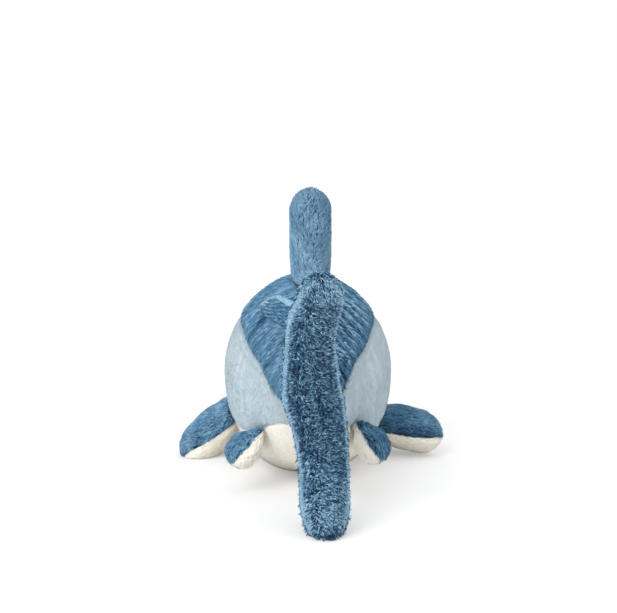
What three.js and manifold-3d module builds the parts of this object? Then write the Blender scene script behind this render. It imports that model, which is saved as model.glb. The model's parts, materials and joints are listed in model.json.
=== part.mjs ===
import * as THREE from "three";
import { mergeVertices } from "three/addons/utils/BufferGeometryUtils.js";
import Module from "manifold-3d";

// A plush swordfish lying on its belly: fabric panels sewn round loose stuffing.
// Millimetres. +Y runs from the tail to the bill, +Z is up, and the fish's own left is at -X.
// The origin is the middle of the flat on which the belly rests.

// Body
const BODY_LENGTH = 306; // from the tail's seam to the seam round the snout
const BODY_WIDTH = 133;
const BODY_HEIGHT = 146;
const REST_SHARE = 0.49; // of the body's length, from the tail's seam to the middle of the resting flat
const TAIL_STEM_WIDTH = 35;
const TAIL_STEM_HEIGHT = 38;
const SNOUT_DOME = 12; // how far the rounded snout stands out inside the bill's root
const BELLY_FLAT_DEPTH = 0.5; // what the floor flattens off the round belly

// Fabric
const FABRIC = 2; // backing and pressed pile together
const GAP = 0.3; // clearance between neighbouring pieces
const SEAT_GAP = 0.1; // from a fin's rounded root to the true curve of the skin, which facets widen

// Bill
const BILL_LENGTH = 132;
const BILL_ROOT_WIDTH = 42;
const BILL_ROOT_HEIGHT = 33;
const BILL_TIP_WIDTH = 13;
const BILL_TIP_HEIGHT = 11;
const BILL_RISE = 8; // how much higher the tip is carried than the root
const BILL_TUCK = 2; // how far its root reaches back over the snout's seam

// Tail fin
const TAIL_HEIGHT = 177;
const TAIL_PRESSED = 4; // what the floor flattens off the lower lobe
const TAIL_CHORD = 45; // front to back at the middle
const TAIL_TIP_CHORD = 31;
const TAIL_SWEEP = 40; // how far the lobes trail behind the middle
const TAIL_THICKNESS = 42; // at the middle, where it is fullest
const TAIL_LOBE_THICKNESS = 33;
const TAIL_WAVE = 9; // how far the soft fin wanders to the fish's right
const TAIL_SEAT = 10; // how deep the tail stem sits in the fin

// Dorsal fin
const DORSAL_HEIGHT = 72;
const DORSAL_CHORD = 74;
const DORSAL_TIP_CHORD = 38;
const DORSAL_THICKNESS = 33;
const DORSAL_ROOT_THICKNESS = 31;
const DORSAL_SWEEP = 26;
const DORSAL_ROOT_DEPTH = 10; // how far the fin is drawn down before the back's curve cuts it
const DORSAL_SHARE = 0.503; // of the body's length, from the tail's seam
const DORSAL_OFFSET = 2; // to the fish's right, as it was sewn
const DORSAL_LEAN = 10; // degrees that it can be leaned to each side

// Small rear dorsal fin, which has flopped over to the left
const REAR_DORSAL_LENGTH = 40;
const REAR_DORSAL_CHORD = 34;
const REAR_DORSAL_TIP_CHORD = 25;
const REAR_DORSAL_THICKNESS = 21;
const REAR_DORSAL_ROOT_THICKNESS = 7;
const REAR_DORSAL_SWEEP = 9;
const REAR_DORSAL_SHARE = 0.17; // of the body's length, from the tail's seam
const REAR_DORSAL_FLOP = 50; // degrees from upright

// Pectoral fins
const PECTORAL_LENGTH = 48;
const PECTORAL_CHORD = 56;
const PECTORAL_TIP_CHORD = 44;
const PECTORAL_THICKNESS = 36;
const PECTORAL_ROOT_THICKNESS = 8;
const PECTORAL_SWEEP = 18;
const PECTORAL_SHARE = 0.578; // of the body's length, from the tail's seam
const PECTORAL_LEVEL = { left: -0.56, right: -0.64 }; // shares of the half-height below the body's middle
const PECTORAL_DROOP = { left: 44, right: 9 }; // degrees below level

// Pelvic fins
const PELVIC_LENGTH = 29;
const PELVIC_CHORD = 36;
const PELVIC_TIP_CHORD = 28;
const PELVIC_THICKNESS = 25;
const PELVIC_ROOT_THICKNESS = 7;
const PELVIC_SWEEP = 7;
const PELVIC_SHARE = 0.2;
const PELVIC_LEVEL = { left: -0.6, right: -0.5 };
const PELVIC_DROOP = { left: 46, right: 54 };

// Eyes
const EYE_RADIUS = 5.5;
const EYE_DOME = 4.2;
const EYE_STEM_RADIUS = 1.8;
const EYE_STEM_LENGTH = 9;
const EYE_WASHER_RADIUS = 6;
const EYE_WASHER_THICKNESS = 1.6;
const EYE_SHARE = 0.856; // of the body's length, from the tail's seam
const EYE_LEVEL = 0.13; // share of the half-height above the middle of the head

// Facets
const BODY_SIDES = 24;
const BODY_STEPS = 14;
const DOME_STEPS = 3;
const FIN_SIDES = 12;
const FIN_STEPS = 6;
const SMALL_FIN_SIDES = 10;
const SMALL_FIN_STEPS = 5;
const TAIL_STEPS = 16;
const BILL_STEPS = 7;
const EYE_SIDES = 12;
const SOCKET_SIDES = 24;
const SOCKET_STEPS = 10;
const SLIVER = 0.02; // points closer than this become one where pieces are cut
const PROBE = 0.5; // how far around a point the skin is felt for the way that it faces

// Shape of the fins and the bill
const SWELL_SHARE = 0.36; // of a fin's length, over which it swells to its full thickness
const OUTLINE_ROUNDED_FROM = 0.45; // share of its length from which its outline closes
const BLUNT_SHARE = 0.72; // share of its length from which a large, blunt fin closes
const ROUND_SHARE = 0.6; // the same for a round side fin
const SWEEP_BEND = 1.4; // 1 is a straight swept fin, and more bends back towards its tip
const TAIL_FULL_REACH = 0.55; // share of each tail lobe over which the full middle thins
const TAIL_THINNING_BEND = 1.5; // 1 thins it evenly, and more thins it fastest by the middle
const BILL_CLOSES_FROM = 0.93; // share of its length
const BILL_TAPER_BEND = 1.35; // 1 is a straight cone, and more is thinner along its middle

const LEFT = -1;
const RIGHT = 1;
const X_AXIS = new THREE.Vector3(1, 0, 0);
const Y_AXIS = new THREE.Vector3(0, 1, 0);
const Z_AXIS = new THREE.Vector3(0, 0, 1);

const blue = new THREE.MeshStandardMaterial({ color: 0x5c88a8, roughness: 0.95, metalness: 0 });
const paleBlue = new THREE.MeshStandardMaterial({ color: 0xbfd0d8, roughness: 0.95, metalness: 0 });
const cream = new THREE.MeshStandardMaterial({ color: 0xe0dccf, roughness: 0.95, metalness: 0 });
const fibre = new THREE.MeshStandardMaterial({ color: 0xf4f3ee, roughness: 1, metalness: 0 });
const blackPlastic = new THREE.MeshStandardMaterial({ color: 0x101012, roughness: 0.15, metalness: 0 });
const whitePlastic = new THREE.MeshStandardMaterial({ color: 0xe8e8e4, roughness: 0.5, metalness: 0 });

const wasm = await Module();
wasm.setup();

// A closed geometry as a solid that can be cut and joined. A mirrored one is turned right side out.
function solidOf(geometry) {
  const bare = new THREE.BufferGeometry();
  bare.setAttribute("position", geometry.getAttribute("position"));
  bare.setIndex(geometry.getIndex());
  const merged = mergeVertices(bare, 1e-4);
  const vertProperties = new Float32Array(merged.getAttribute("position").array);
  const triVerts = new Uint32Array(merged.getIndex().array);
  const made = new wasm.Manifold(new wasm.Mesh({ numProp: 3, vertProperties, triVerts }));
  if (made.volume() > 0) return made;
  return new wasm.Manifold(
    new wasm.Mesh({ numProp: 3, vertProperties, triVerts: triVerts.slice().reverse() }),
  );
}

function geometryOf(solid) {
  const { numProp, vertProperties, triVerts } = solid.getMesh();
  const points = [];
  for (let i = 0; i < vertProperties.length; i += numProp) {
    points.push(vertProperties[i], vertProperties[i + 1], vertProperties[i + 2]);
  }
  const geometry = new THREE.BufferGeometry();
  geometry.setAttribute("position", new THREE.Float32BufferAttribute(points, 3));
  geometry.setIndex(Array.from(triVerts));
  return geometry;
}

// A closed skin over rings of points, drawn to a tip at each end.
function loft(startTip, rings, endTip) {
  const sides = rings[0].length;
  const points = [startTip, ...rings.flat(), endTip];
  const last = points.length - 1;
  const at = (ring, side) => 1 + ring * sides + (side % sides);
  const faces = [];
  for (let side = 0; side < sides; side++) {
    faces.push(0, at(0, side + 1), at(0, side));
    faces.push(last, at(rings.length - 1, side), at(rings.length - 1, side + 1));
    for (let ring = 0; ring < rings.length - 1; ring++) {
      faces.push(at(ring, side), at(ring, side + 1), at(ring + 1, side + 1));
      faces.push(at(ring, side), at(ring + 1, side + 1), at(ring + 1, side));
    }
  }
  const geometry = new THREE.BufferGeometry();
  geometry.setAttribute(
    "position",
    new THREE.Float32BufferAttribute(points.flatMap((p) => [p.x, p.y, p.z]), 3),
  );
  geometry.setIndex(faces);
  return geometry;
}

// A smooth line through [place, value] pairs, as a function of the place.
function smoothLine(pairs) {
  const slope = (i) => {
    const before = pairs[Math.max(i - 1, 0)];
    const after = pairs[Math.min(i + 1, pairs.length - 1)];
    return (after[1] - before[1]) / (after[0] - before[0]);
  };
  return (place) => {
    const found = pairs.findIndex(([start]) => start > place);
    const i = Math.max(0, (found < 0 ? pairs.length - 1 : found) - 1);
    const [x0, y0] = pairs[i];
    const [x1, y1] = pairs[i + 1];
    const span = x1 - x0;
    const t = THREE.MathUtils.clamp((place - x0) / span, 0, 1);
    const rise = y1 - y0;
    const bendIn = slope(i) * span - rise;
    const bendOut = slope(i + 1) * span - rise;
    return y0 + rise * t + t * (1 - t) * (bendIn * (1 - t) - bendOut * t);
  };
}

// A block that reaches far past the fish, from one corner to the other.
function block(low, high) {
  const size = high.clone().sub(low);
  const middle = low.clone().add(high).multiplyScalar(0.5);
  const geometry = new THREE.BoxGeometry(size.x, size.y, size.z);
  return solidOf(geometry.translate(middle.x, middle.y, middle.z));
}

const FAR = 2 * (BODY_LENGTH + BILL_LENGTH + TAIL_HEIGHT);
const aboveLevel = (z) => block(new THREE.Vector3(-FAR, -FAR, z), new THREE.Vector3(FAR, FAR, FAR));
const besideLevel = (side, x) =>
  block(
    new THREE.Vector3(side === LEFT ? -FAR : x, -FAR, -FAR),
    new THREE.Vector3(side === LEFT ? -x : FAR, FAR, FAR),
  );

// The body's lines: half-width, back and belly against the share of the way from tail to snout.
const tailSeamY = -REST_SHARE * BODY_LENGTH;
const snoutSeamY = tailSeamY + BODY_LENGTH;
const lengthwise = (share) => tailSeamY + BODY_LENGTH * share;
const tailMiddleZ = (TAIL_HEIGHT - TAIL_PRESSED) / 2;
const HALF_WIDTH = BODY_WIDTH / 2;
const LOWER_FULLNESS = 2.4; // 2 is an ellipse, and more is squarer
const UPPER_FULLNESS = 1.84;

const planLine = smoothLine([
  [0, TAIL_STEM_WIDTH / 2],
  [0.07, 0.38 * HALF_WIDTH],
  [0.2, 0.63 * HALF_WIDTH],
  [0.34, 0.87 * HALF_WIDTH],
  [0.49, HALF_WIDTH],
  [0.6, HALF_WIDTH],
  [0.74, 0.9 * HALF_WIDTH],
  [0.87, 0.68 * HALF_WIDTH],
  [1, 0.35 * HALF_WIDTH],
]);
const backLine = smoothLine([
  [0, tailMiddleZ + TAIL_STEM_HEIGHT / 2],
  [0.08, 0.76 * BODY_HEIGHT],
  [0.2, 0.85 * BODY_HEIGHT],
  [0.34, 0.94 * BODY_HEIGHT],
  [0.5, BODY_HEIGHT],
  [0.6, BODY_HEIGHT],
  [0.74, 0.94 * BODY_HEIGHT],
  [0.87, 0.81 * BODY_HEIGHT],
  [1, 0.62 * BODY_HEIGHT],
]);
const bellyLine = smoothLine([
  [0, tailMiddleZ - TAIL_STEM_HEIGHT / 2],
  [0.08, 0.34 * BODY_HEIGHT],
  [0.2, 0.13 * BODY_HEIGHT],
  [0.31, 0.02 * BODY_HEIGHT],
  [0.4, -BELLY_FLAT_DEPTH],
  [0.6, -BELLY_FLAT_DEPTH],
  [0.74, 0.05 * BODY_HEIGHT],
  [0.87, 0.18 * BODY_HEIGHT],
  [1, 0.38 * BODY_HEIGHT],
]);

// The seams' heights, as shares of the half-height above the middle of the section. Below -1 a seam has
// closed under the fish, and the panel beneath it ends.
const upperSeamLine = smoothLine([
  [0, -0.5],
  [0.05, -0.1],
  [0.16, 0.38],
  [0.29, 0.5],
  [0.45, 0.54],
  [0.8, 0.48],
  [1, 0.15],
]);
const lowerSeamLine = smoothLine([
  [0, -2.2],
  [0.05, -1.05],
  [0.12, -0.62],
  [0.25, -0.52],
  [0.49, -0.5],
  [0.8, -0.42],
  [1, -0.35],
]);

const stationY = (step) => lengthwise(step / BODY_STEPS);

function bodySection(y) {
  const share = THREE.MathUtils.clamp((y - tailSeamY) / BODY_LENGTH, 0, 1);
  const top = backLine(share);
  const bottom = bellyLine(share);
  return { share, halfWidth: planLine(share), middle: (top + bottom) / 2, halfHeight: (top - bottom) / 2 };
}

// The half-width of the body at a level, given as a share of its half-height.
function widthShare(level) {
  const fullness = level < 0 ? LOWER_FULLNESS : UPPER_FULLNESS;
  return (1 - Math.abs(level) ** fullness) ** (1 / fullness);
}

function skinPoint(y, level, side) {
  const { halfWidth, middle, halfHeight } = bodySection(y);
  return new THREE.Vector3(side * halfWidth * widthShare(level), y, middle + level * halfHeight);
}

// The way that the skin faces, from how fast its formula changes around the point.
function skinNormal(y, level, side) {
  const formula = (p) => {
    const { halfWidth, middle, halfHeight } = bodySection(p.y);
    const share = (p.z - middle) / halfHeight;
    const fullness = share < 0 ? LOWER_FULLNESS : UPPER_FULLNESS;
    return Math.abs(p.x / halfWidth) ** fullness + Math.abs(share) ** fullness;
  };
  const point = skinPoint(y, level, side);
  const change = (axis) => {
    const ahead = point.clone().addScaledVector(axis, PROBE);
    const behind = point.clone().addScaledVector(axis, -PROBE);
    return formula(ahead) - formula(behind);
  };
  return new THREE.Vector3(change(X_AXIS), change(Y_AXIS), change(Z_AXIS)).normalize();
}

// The whole body, grown outwards by a little or shrunk inwards if that is negative.
function bodySolid(grown) {
  const ring = (y, scale) => {
    const { halfWidth, middle, halfHeight } = bodySection(y);
    return (moved) =>
      Array.from({ length: BODY_SIDES }, (_, i) => {
        const angle = (2 * Math.PI * i) / BODY_SIDES;
        const power = 2 / (Math.sin(angle) < 0 ? LOWER_FULLNESS : UPPER_FULLNESS);
        const across = Math.sign(Math.cos(angle)) * Math.abs(Math.cos(angle)) ** power;
        const up = Math.sign(Math.sin(angle)) * Math.abs(Math.sin(angle)) ** power;
        return new THREE.Vector3(
          (halfWidth + grown) * scale * across,
          y + moved,
          middle + (halfHeight + grown) * scale * up,
        );
      });
  };
  const rings = [];
  const tailDome = TAIL_STEM_WIDTH / 2 + grown;
  const snoutDome = SNOUT_DOME + grown;
  for (let i = 1; i <= DOME_STEPS; i++) {
    const angle = (Math.PI / 2) * (i / (DOME_STEPS + 1));
    rings.push(ring(tailSeamY, Math.sin(angle))(-tailDome * Math.cos(angle)));
  }
  for (let i = 0; i <= BODY_STEPS; i++) {
    rings.push(ring(stationY(i), 1)(0));
  }
  for (let i = 1; i <= DOME_STEPS; i++) {
    const angle = (Math.PI / 2) * (i / (DOME_STEPS + 1));
    rings.push(ring(snoutSeamY, Math.cos(angle))(snoutDome * Math.sin(angle)));
  }
  const tips = [
    new THREE.Vector3(0, tailSeamY - tailDome, bodySection(tailSeamY).middle),
    new THREE.Vector3(0, snoutSeamY + snoutDome, bodySection(snoutSeamY).middle),
  ];
  return solidOf(loft(tips[0], rings, tips[1])).intersect(aboveLevel(-grown));
}

// The part of the fish's length that lies above or below a seam, as a block cut along that seam.
function seamBlock(seamLine, side, gap) {
  const outline = new THREE.Shape();
  const stations = Array.from({ length: BODY_STEPS + 1 }, (_, i) => stationY(i));
  outline.moveTo(-FAR, side * FAR);
  for (const y of [-FAR, ...stations, FAR]) {
    const { share, middle, halfHeight } = bodySection(y);
    outline.lineTo(y, middle + seamLine(share) * halfHeight + side * gap);
  }
  outline.lineTo(FAR, side * FAR);
  const geometry = new THREE.ExtrudeGeometry(outline, { depth: 2 * FAR, bevelEnabled: false });
  geometry.translate(0, 0, -FAR);
  // The outline's x and y become the fish's Y and Z, and its depth becomes X.
  return solidOf(geometry.applyMatrix4(new THREE.Matrix4().makeBasis(Y_AXIS, Z_AXIS, X_AXIS)));
}

// A line that closes in a quarter ellipse over its last stretch.
function roundedOff(share, from) {
  const past = Math.max(0, (share - from) / (1 - from));
  return Math.sqrt(Math.max(0, 1 - past ** 2));
}

// A stuffed fin along +X from its seam at the origin, with its chord along Y and its thickness along Z.
// It swells over the first part of its length. Its root is either round and thin, so that the fin can
// turn on it, or runs straight on for a depth, to be cut to the back's curve.
function finGeometry(size, shrunk) {
  const { length, chord, tipChord, thickness, rootThickness, sweep, sides, steps, rootDepth } = size;
  const innerLength = length - shrunk;
  const rootRadius = rootThickness / 2 - shrunk;
  const middleAt = (x) => -sweep * Math.max(0, x / length) ** SWEEP_BEND;
  const ring = (x, share, chordCut, scale) => {
    const swell = Math.sin((Math.PI / 2) * Math.min(1, share / SWELL_SHARE));
    const fullThickness = rootThickness + (thickness - rootThickness) * swell;
    const halfThickness = (fullThickness / 2 - shrunk) * roundedOff(share, size.roundedFrom) * scale;
    const taperedChord = chord + (tipChord - chord) * share;
    const halfChord = (taperedChord / 2 - shrunk) * roundedOff(share, OUTLINE_ROUNDED_FROM) - chordCut;
    return Array.from({ length: sides }, (_, i) => {
      const angle = (2 * Math.PI * (i + 0.5)) / sides;
      const y = middleAt(x) + halfChord * Math.cos(angle);
      return new THREE.Vector3(x, y, halfThickness * Math.sin(angle));
    });
  };
  const rootEnd = rootDepth ? shrunk - rootDepth : -rootRadius;
  const rootRings = rootDepth
    ? [ring(rootEnd, 0, 0, 1)]
    : [Math.PI / 6, Math.PI / 3].map((angle) =>
        ring(-rootRadius * Math.cos(angle), 0, rootRadius * (1 - Math.sin(angle)), Math.sin(angle)),
      );
  const finRings = Array.from({ length: steps }, (_, i) => {
    const share = Math.sin((Math.PI / 2) * (i / steps));
    return ring(innerLength * share, share, 0, 1);
  });
  return loft(
    new THREE.Vector3(rootEnd, 0, 0),
    [...rootRings, ...finRings],
    new THREE.Vector3(innerLength, middleAt(innerLength), 0),
  );
}

// Where a fin stands: its seam's middle, the way it points, and the line of its seam towards the bill.
function placement(seat, outward, alongSeam) {
  const forward = alongSeam.clone().normalize();
  const out = outward.clone().addScaledVector(forward, -outward.dot(forward)).normalize();
  return new THREE.Matrix4().makeBasis(out, forward, out.clone().cross(forward)).setPosition(seat);
}

// Puts named pieces, given as [name, solid, material], into a group without moving them.
function addPieces(group, pieces) {
  for (const [name, solid, material] of pieces) {
    const { x, y, z } = group.position;
    const geometry = geometryOf(solid.simplify(SLIVER)).translate(-x, -y, -z);
    const mesh = new THREE.Mesh(geometry, material);
    mesh.name = name;
    group.add(mesh);
  }
  return group;
}

// The eyes' seats on the side panels
function eyePlacement(side) {
  const seat = skinPoint(lengthwise(EYE_SHARE), EYE_LEVEL, side);
  const out = skinNormal(lengthwise(EYE_SHARE), EYE_LEVEL, side);
  const turn = new THREE.Quaternion().setFromUnitVectors(new THREE.Vector3(0, 1, 0), out);
  return new THREE.Matrix4().compose(seat, turn, new THREE.Vector3(1, 1, 1));
}
// A turned piece about +Y, from [radius, height] pairs.
function turned(pairs, side) {
  const profile = pairs.map(([radius, height]) => new THREE.Vector2(radius, height));
  return solidOf(new THREE.LatheGeometry(profile, EYE_SIDES).applyMatrix4(eyePlacement(side)));
}
const eyeHole = (side, radius, depth) =>
  turned([[0, -depth], [radius, -depth], [radius, EYE_RADIUS], [0, EYE_RADIUS]], side);

const washerTop = -(FABRIC + 3 * GAP);
const washerFoot = washerTop - EYE_WASHER_THICKNESS;

function eyeSolid(side) {
  const dome = [0, 0.25, 0.5, 0.75].map((share) => {
    const angle = (share * Math.PI) / 2;
    return [EYE_RADIUS * Math.cos(angle), GAP + EYE_DOME * Math.sin(angle)];
  });
  const stem = [[0, -EYE_STEM_LENGTH], [EYE_STEM_RADIUS, -EYE_STEM_LENGTH], [EYE_STEM_RADIUS, GAP]];
  return turned([...stem, ...dome, [0, GAP + EYE_DOME]], side);
}

function washerSolid(side) {
  const bore = EYE_STEM_RADIUS + GAP;
  return turned(
    [
      [bore, washerFoot],
      [EYE_WASHER_RADIUS, washerFoot],
      [EYE_WASHER_RADIUS, washerTop],
      [bore, washerTop],
      [bore, washerFoot],
    ],
    side,
  );
}

// The body: four panels round the stuffing, with an eye's stem through each side panel into its washer
function buildBody() {
  const shell = bodySolid(0).subtract(bodySolid(-FABRIC));
  const back = shell.intersect(seamBlock(upperSeamLine, 1, GAP / 2));
  const belly = shell.intersect(seamBlock(lowerSeamLine, -1, GAP / 2));
  const between = shell
    .subtract(seamBlock(upperSeamLine, 1, -GAP / 2))
    .subtract(seamBlock(lowerSeamLine, -1, -GAP / 2));
  const sidePanel = (side) =>
    between
      .intersect(besideLevel(side, GAP / 2))
      .subtract(eyeHole(side, EYE_STEM_RADIUS + GAP, EYE_STEM_LENGTH));
  let stuffing = bodySolid(-FABRIC - GAP);
  for (const side of [LEFT, RIGHT]) {
    stuffing = stuffing
      .subtract(eyeHole(side, EYE_WASHER_RADIUS + GAP, -washerFoot + GAP))
      .subtract(eyeHole(side, EYE_STEM_RADIUS + GAP, EYE_STEM_LENGTH + GAP));
  }
  return addPieces(new THREE.Group(), [
    ["back_panel", back, blue],
    ["side_panel_left", sidePanel(LEFT), paleBlue],
    ["side_panel_right", sidePanel(RIGHT), paleBlue],
    ["belly_panel", belly, cream],
    ["body_stuffing", stuffing, fibre],
    ["eye_left", eyeSolid(LEFT), blackPlastic],
    ["eye_right", eyeSolid(RIGHT), blackPlastic],
    ["eye_washer_left", washerSolid(LEFT), whitePlastic],
    ["eye_washer_right", washerSolid(RIGHT), whitePlastic],
  ]);
}

// The bill: a long taper sewn round the snout, a top panel and an under panel
function buildBill() {
  const rootY = snoutSeamY - BILL_TUCK;
  const rootZ = bodySection(snoutSeamY).middle;
  const spine = (share) => new THREE.Vector3(0, rootY + BILL_LENGTH * share, rootZ + BILL_RISE * share);
  const billSolid = (shrunk) => {
    const rings = Array.from({ length: BILL_STEPS }, (_, i) => {
      const share = Math.sin((Math.PI / 2) * (i / BILL_STEPS)) * (1 - shrunk / BILL_LENGTH);
      const taper = (1 - share) ** BILL_TAPER_BEND;
      const round = roundedOff(share / (1 - shrunk / BILL_LENGTH), BILL_CLOSES_FROM);
      const width = BILL_TIP_WIDTH + (BILL_ROOT_WIDTH - BILL_TIP_WIDTH) * taper;
      const height = BILL_TIP_HEIGHT + (BILL_ROOT_HEIGHT - BILL_TIP_HEIGHT) * taper;
      const halfWidth = (width / 2 - shrunk) * round;
      const halfHeight = (height / 2 - shrunk) * round;
      return Array.from({ length: FIN_SIDES }, (_, side) => {
        const angle = (2 * Math.PI * (side + 0.5)) / FIN_SIDES;
        return spine(share).add(
          new THREE.Vector3(halfWidth * Math.cos(angle), 0, halfHeight * Math.sin(angle)),
        );
      });
    });
    return solidOf(loft(spine(0), rings, spine(1 - shrunk / BILL_LENGTH)));
  };
  // The seam plane rises with the bill, so the panels are cut by a block with that slope.
  const rise = Math.atan2(BILL_RISE, BILL_LENGTH);
  const half = (upDown) => {
    const wholeSide = new THREE.BoxGeometry(FAR, FAR, FAR).translate(0, 0, upDown * (FAR / 2 + GAP / 2));
    return solidOf(wholeSide.rotateX(rise).translate(0, rootY, rootZ));
  };
  const hollow = billSolid(FABRIC).subtract(bodySolid(GAP + FABRIC));
  const shell = billSolid(0).subtract(hollow).subtract(bodySolid(GAP));
  return addPieces(new THREE.Group(), [
    ["bill_top_panel", shell.intersect(half(1)), blue],
    ["bill_under_panel", shell.intersect(half(-1)), cream],
    ["bill_stuffing", billSolid(FABRIC + GAP).subtract(bodySolid(2 * GAP + FABRIC)), fibre],
  ]);
}

// The two panels and the stuffing of a fin. The geometry and the cut are asked for at each depth inside
// its skin, and the halves are blocks on the two sides of its seam.
function finPieces(geometryAt, cutAt, halves) {
  const solidAt = (inside) => cutAt(solidOf(geometryAt(inside)), inside);
  const shell = solidAt(0).subtract(solidAt(FABRIC));
  return { panels: halves.map((half) => shell.intersect(half)), stuffing: solidAt(FABRIC + GAP) };
}

// Both sides of a fin's middle plane, moved apart by the gap.
function halvesOf(matrix) {
  return [1, -1].map((way) =>
    solidOf(
      new THREE.BoxGeometry(FAR, FAR, FAR).translate(0, 0, way * (FAR / 2 + GAP / 2)).applyMatrix4(matrix),
    ),
  );
}

// The tail fin's line from the lower lobe to the upper, as its drift to the fish's right.
const tailWaveLine = smoothLine([
  [-1, 1.35 * TAIL_WAVE],
  [-0.35, 1.1 * TAIL_WAVE],
  [0.05, 0.35 * TAIL_WAVE],
  [0.4, 0.2 * TAIL_WAVE],
  [0.6, 0.34 * TAIL_WAVE],
  [0.8, 0.9 * TAIL_WAVE],
  [1, 0.95 * TAIL_WAVE],
]);

// The tail fin: a crescent on a curved spine, seated over the round end of the tail stem.
function buildTail() {
  const group = new THREE.Group();
  group.position.set(0, tailSeamY, tailMiddleZ);
  const middleY = tailSeamY - TAIL_STEM_WIDTH / 2 + TAIL_SEAT - TAIL_CHORD / 2;
  const tailGeometry = (shrunk) => {
    const halfHeight = (TAIL_HEIGHT + TAIL_PRESSED) / 2 - shrunk;
    const spine = (share) =>
      new THREE.Vector3(0, middleY - TAIL_SWEEP * share ** 2, tailMiddleZ + halfHeight * share);
    const rings = Array.from({ length: TAIL_STEPS - 1 }, (_, i) => {
      const share = Math.sin((Math.PI / 2) * (-1 + (2 * (i + 1)) / TAIL_STEPS));
      const along = new THREE.Vector3(0, -2 * TAIL_SWEEP * share, halfHeight).normalize();
      const chordwise = new THREE.Vector3(0, along.z, -along.y);
      const reach = Math.abs(share);
      const round = roundedOff(reach, BLUNT_SHARE);
      const halfChord = ((TAIL_CHORD + (TAIL_TIP_CHORD - TAIL_CHORD) * reach) / 2 - shrunk) * round;
      const fullness = Math.max(0, 1 - reach / TAIL_FULL_REACH) ** TAIL_THINNING_BEND;
      const thickness = TAIL_LOBE_THICKNESS + (TAIL_THICKNESS - TAIL_LOBE_THICKNESS) * fullness;
      const halfThickness = (thickness / 2 - shrunk) * round;
      return Array.from({ length: FIN_SIDES }, (_, side) => {
        const angle = (2 * Math.PI * (side + 0.5)) / FIN_SIDES;
        return spine(share)
          .addScaledVector(chordwise, halfChord * Math.sin(angle))
          .add(new THREE.Vector3(halfThickness * Math.cos(angle), 0, 0));
      });
    });
    return loft(spine(-1), rings, spine(1));
  };
  // Each level drifts sideways, but the socket for the stem is cut after that and stays true.
  const drifted = (geometry) => {
    const place = geometry.getAttribute("position");
    for (let i = 0; i < place.count; i++) {
      const share = (2 * (place.getZ(i) - tailMiddleZ)) / (TAIL_HEIGHT + TAIL_PRESSED);
      place.setX(i, place.getX(i) + tailWaveLine(share));
    }
    return geometry;
  };
  // The socket is round about the upright axis, and as wide at each level as the stem's domed end is
  // on any side, so that the fin turns on it.
  const socket = (grown) => {
    const wide = (TAIL_STEM_WIDTH / 2 + grown) / Math.cos(Math.PI / SOCKET_SIDES);
    const tall = TAIL_STEM_HEIGHT / 2 + grown;
    const profile = Array.from({ length: SOCKET_STEPS + 1 }, (_, i) => {
      const level = -Math.cos((Math.PI * i) / SOCKET_STEPS);
      const reach = Math.max(widthShare(level), Math.sqrt(1 - level ** 2));
      return new THREE.Vector2(wide * reach, tall * level);
    });
    const ball = new THREE.LatheGeometry(profile, SOCKET_SIDES).rotateX(Math.PI / 2);
    return solidOf(ball.translate(0, tailSeamY, tailMiddleZ));
  };
  const cutAt = (solid, inside) => solid.subtract(socket(GAP + inside)).intersect(aboveLevel(inside));
  // The seam drifts with the fin, so each half is a drifted slab.
  const half = (side) => {
    const slab = new THREE.BoxGeometry(FAR, FAR, TAIL_HEIGHT + 2 * TAIL_SEAT, 1, 1, TAIL_STEPS);
    slab.translate(side * (FAR / 2 + GAP / 2), 0, tailMiddleZ);
    return solidOf(drifted(slab));
  };
  const { panels, stuffing } = finPieces((inside) => drifted(tailGeometry(inside)), cutAt, [
    half(LEFT),
    half(RIGHT),
  ]);
  return addPieces(group, [
    ["tail_panel_left", panels[0], blue],
    ["tail_panel_right", panels[1], blue],
    ["tail_stuffing", stuffing, fibre],
  ]);
}

// The dorsal fin stands on a broad seam along the back.
function buildDorsal() {
  const seat = skinPoint(lengthwise(DORSAL_SHARE), 1, RIGHT).setX(DORSAL_OFFSET);
  const group = new THREE.Group();
  group.position.copy(seat);
  const stand = placement(seat, Z_AXIS, Y_AXIS);
  const size = {
    length: DORSAL_HEIGHT,
    chord: DORSAL_CHORD,
    tipChord: DORSAL_TIP_CHORD,
    thickness: DORSAL_THICKNESS,
    rootThickness: DORSAL_ROOT_THICKNESS,
    sweep: DORSAL_SWEEP,
    roundedFrom: BLUNT_SHARE,
    sides: FIN_SIDES,
    steps: FIN_STEPS,
    rootDepth: DORSAL_ROOT_DEPTH,
  };
  // The root is cut clear of the back as it meets it upright and leaned to either side.
  const cutAt = (solid, inside) => {
    const back = geometryOf(bodySolid(GAP + inside)).translate(-seat.x, -seat.y, -seat.z);
    return [-DORSAL_LEAN, 0, DORSAL_LEAN].reduce((left, lean) => {
      const leaned = back.clone().rotateY(THREE.MathUtils.degToRad(lean));
      return left.subtract(solidOf(leaned.translate(seat.x, seat.y, seat.z)));
    }, solid);
  };
  const { panels, stuffing } = finPieces(
    (inside) => finGeometry(size, inside).applyMatrix4(stand),
    cutAt,
    [LEFT, RIGHT].map((side) => besideLevel(side, GAP / 2).translate([DORSAL_OFFSET, 0, 0])),
  );
  return addPieces(group, [
    ["dorsal_panel_left", panels[0], blue],
    ["dorsal_panel_right", panels[1], blue],
    ["dorsal_stuffing", stuffing, fibre],
  ]);
}

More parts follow.
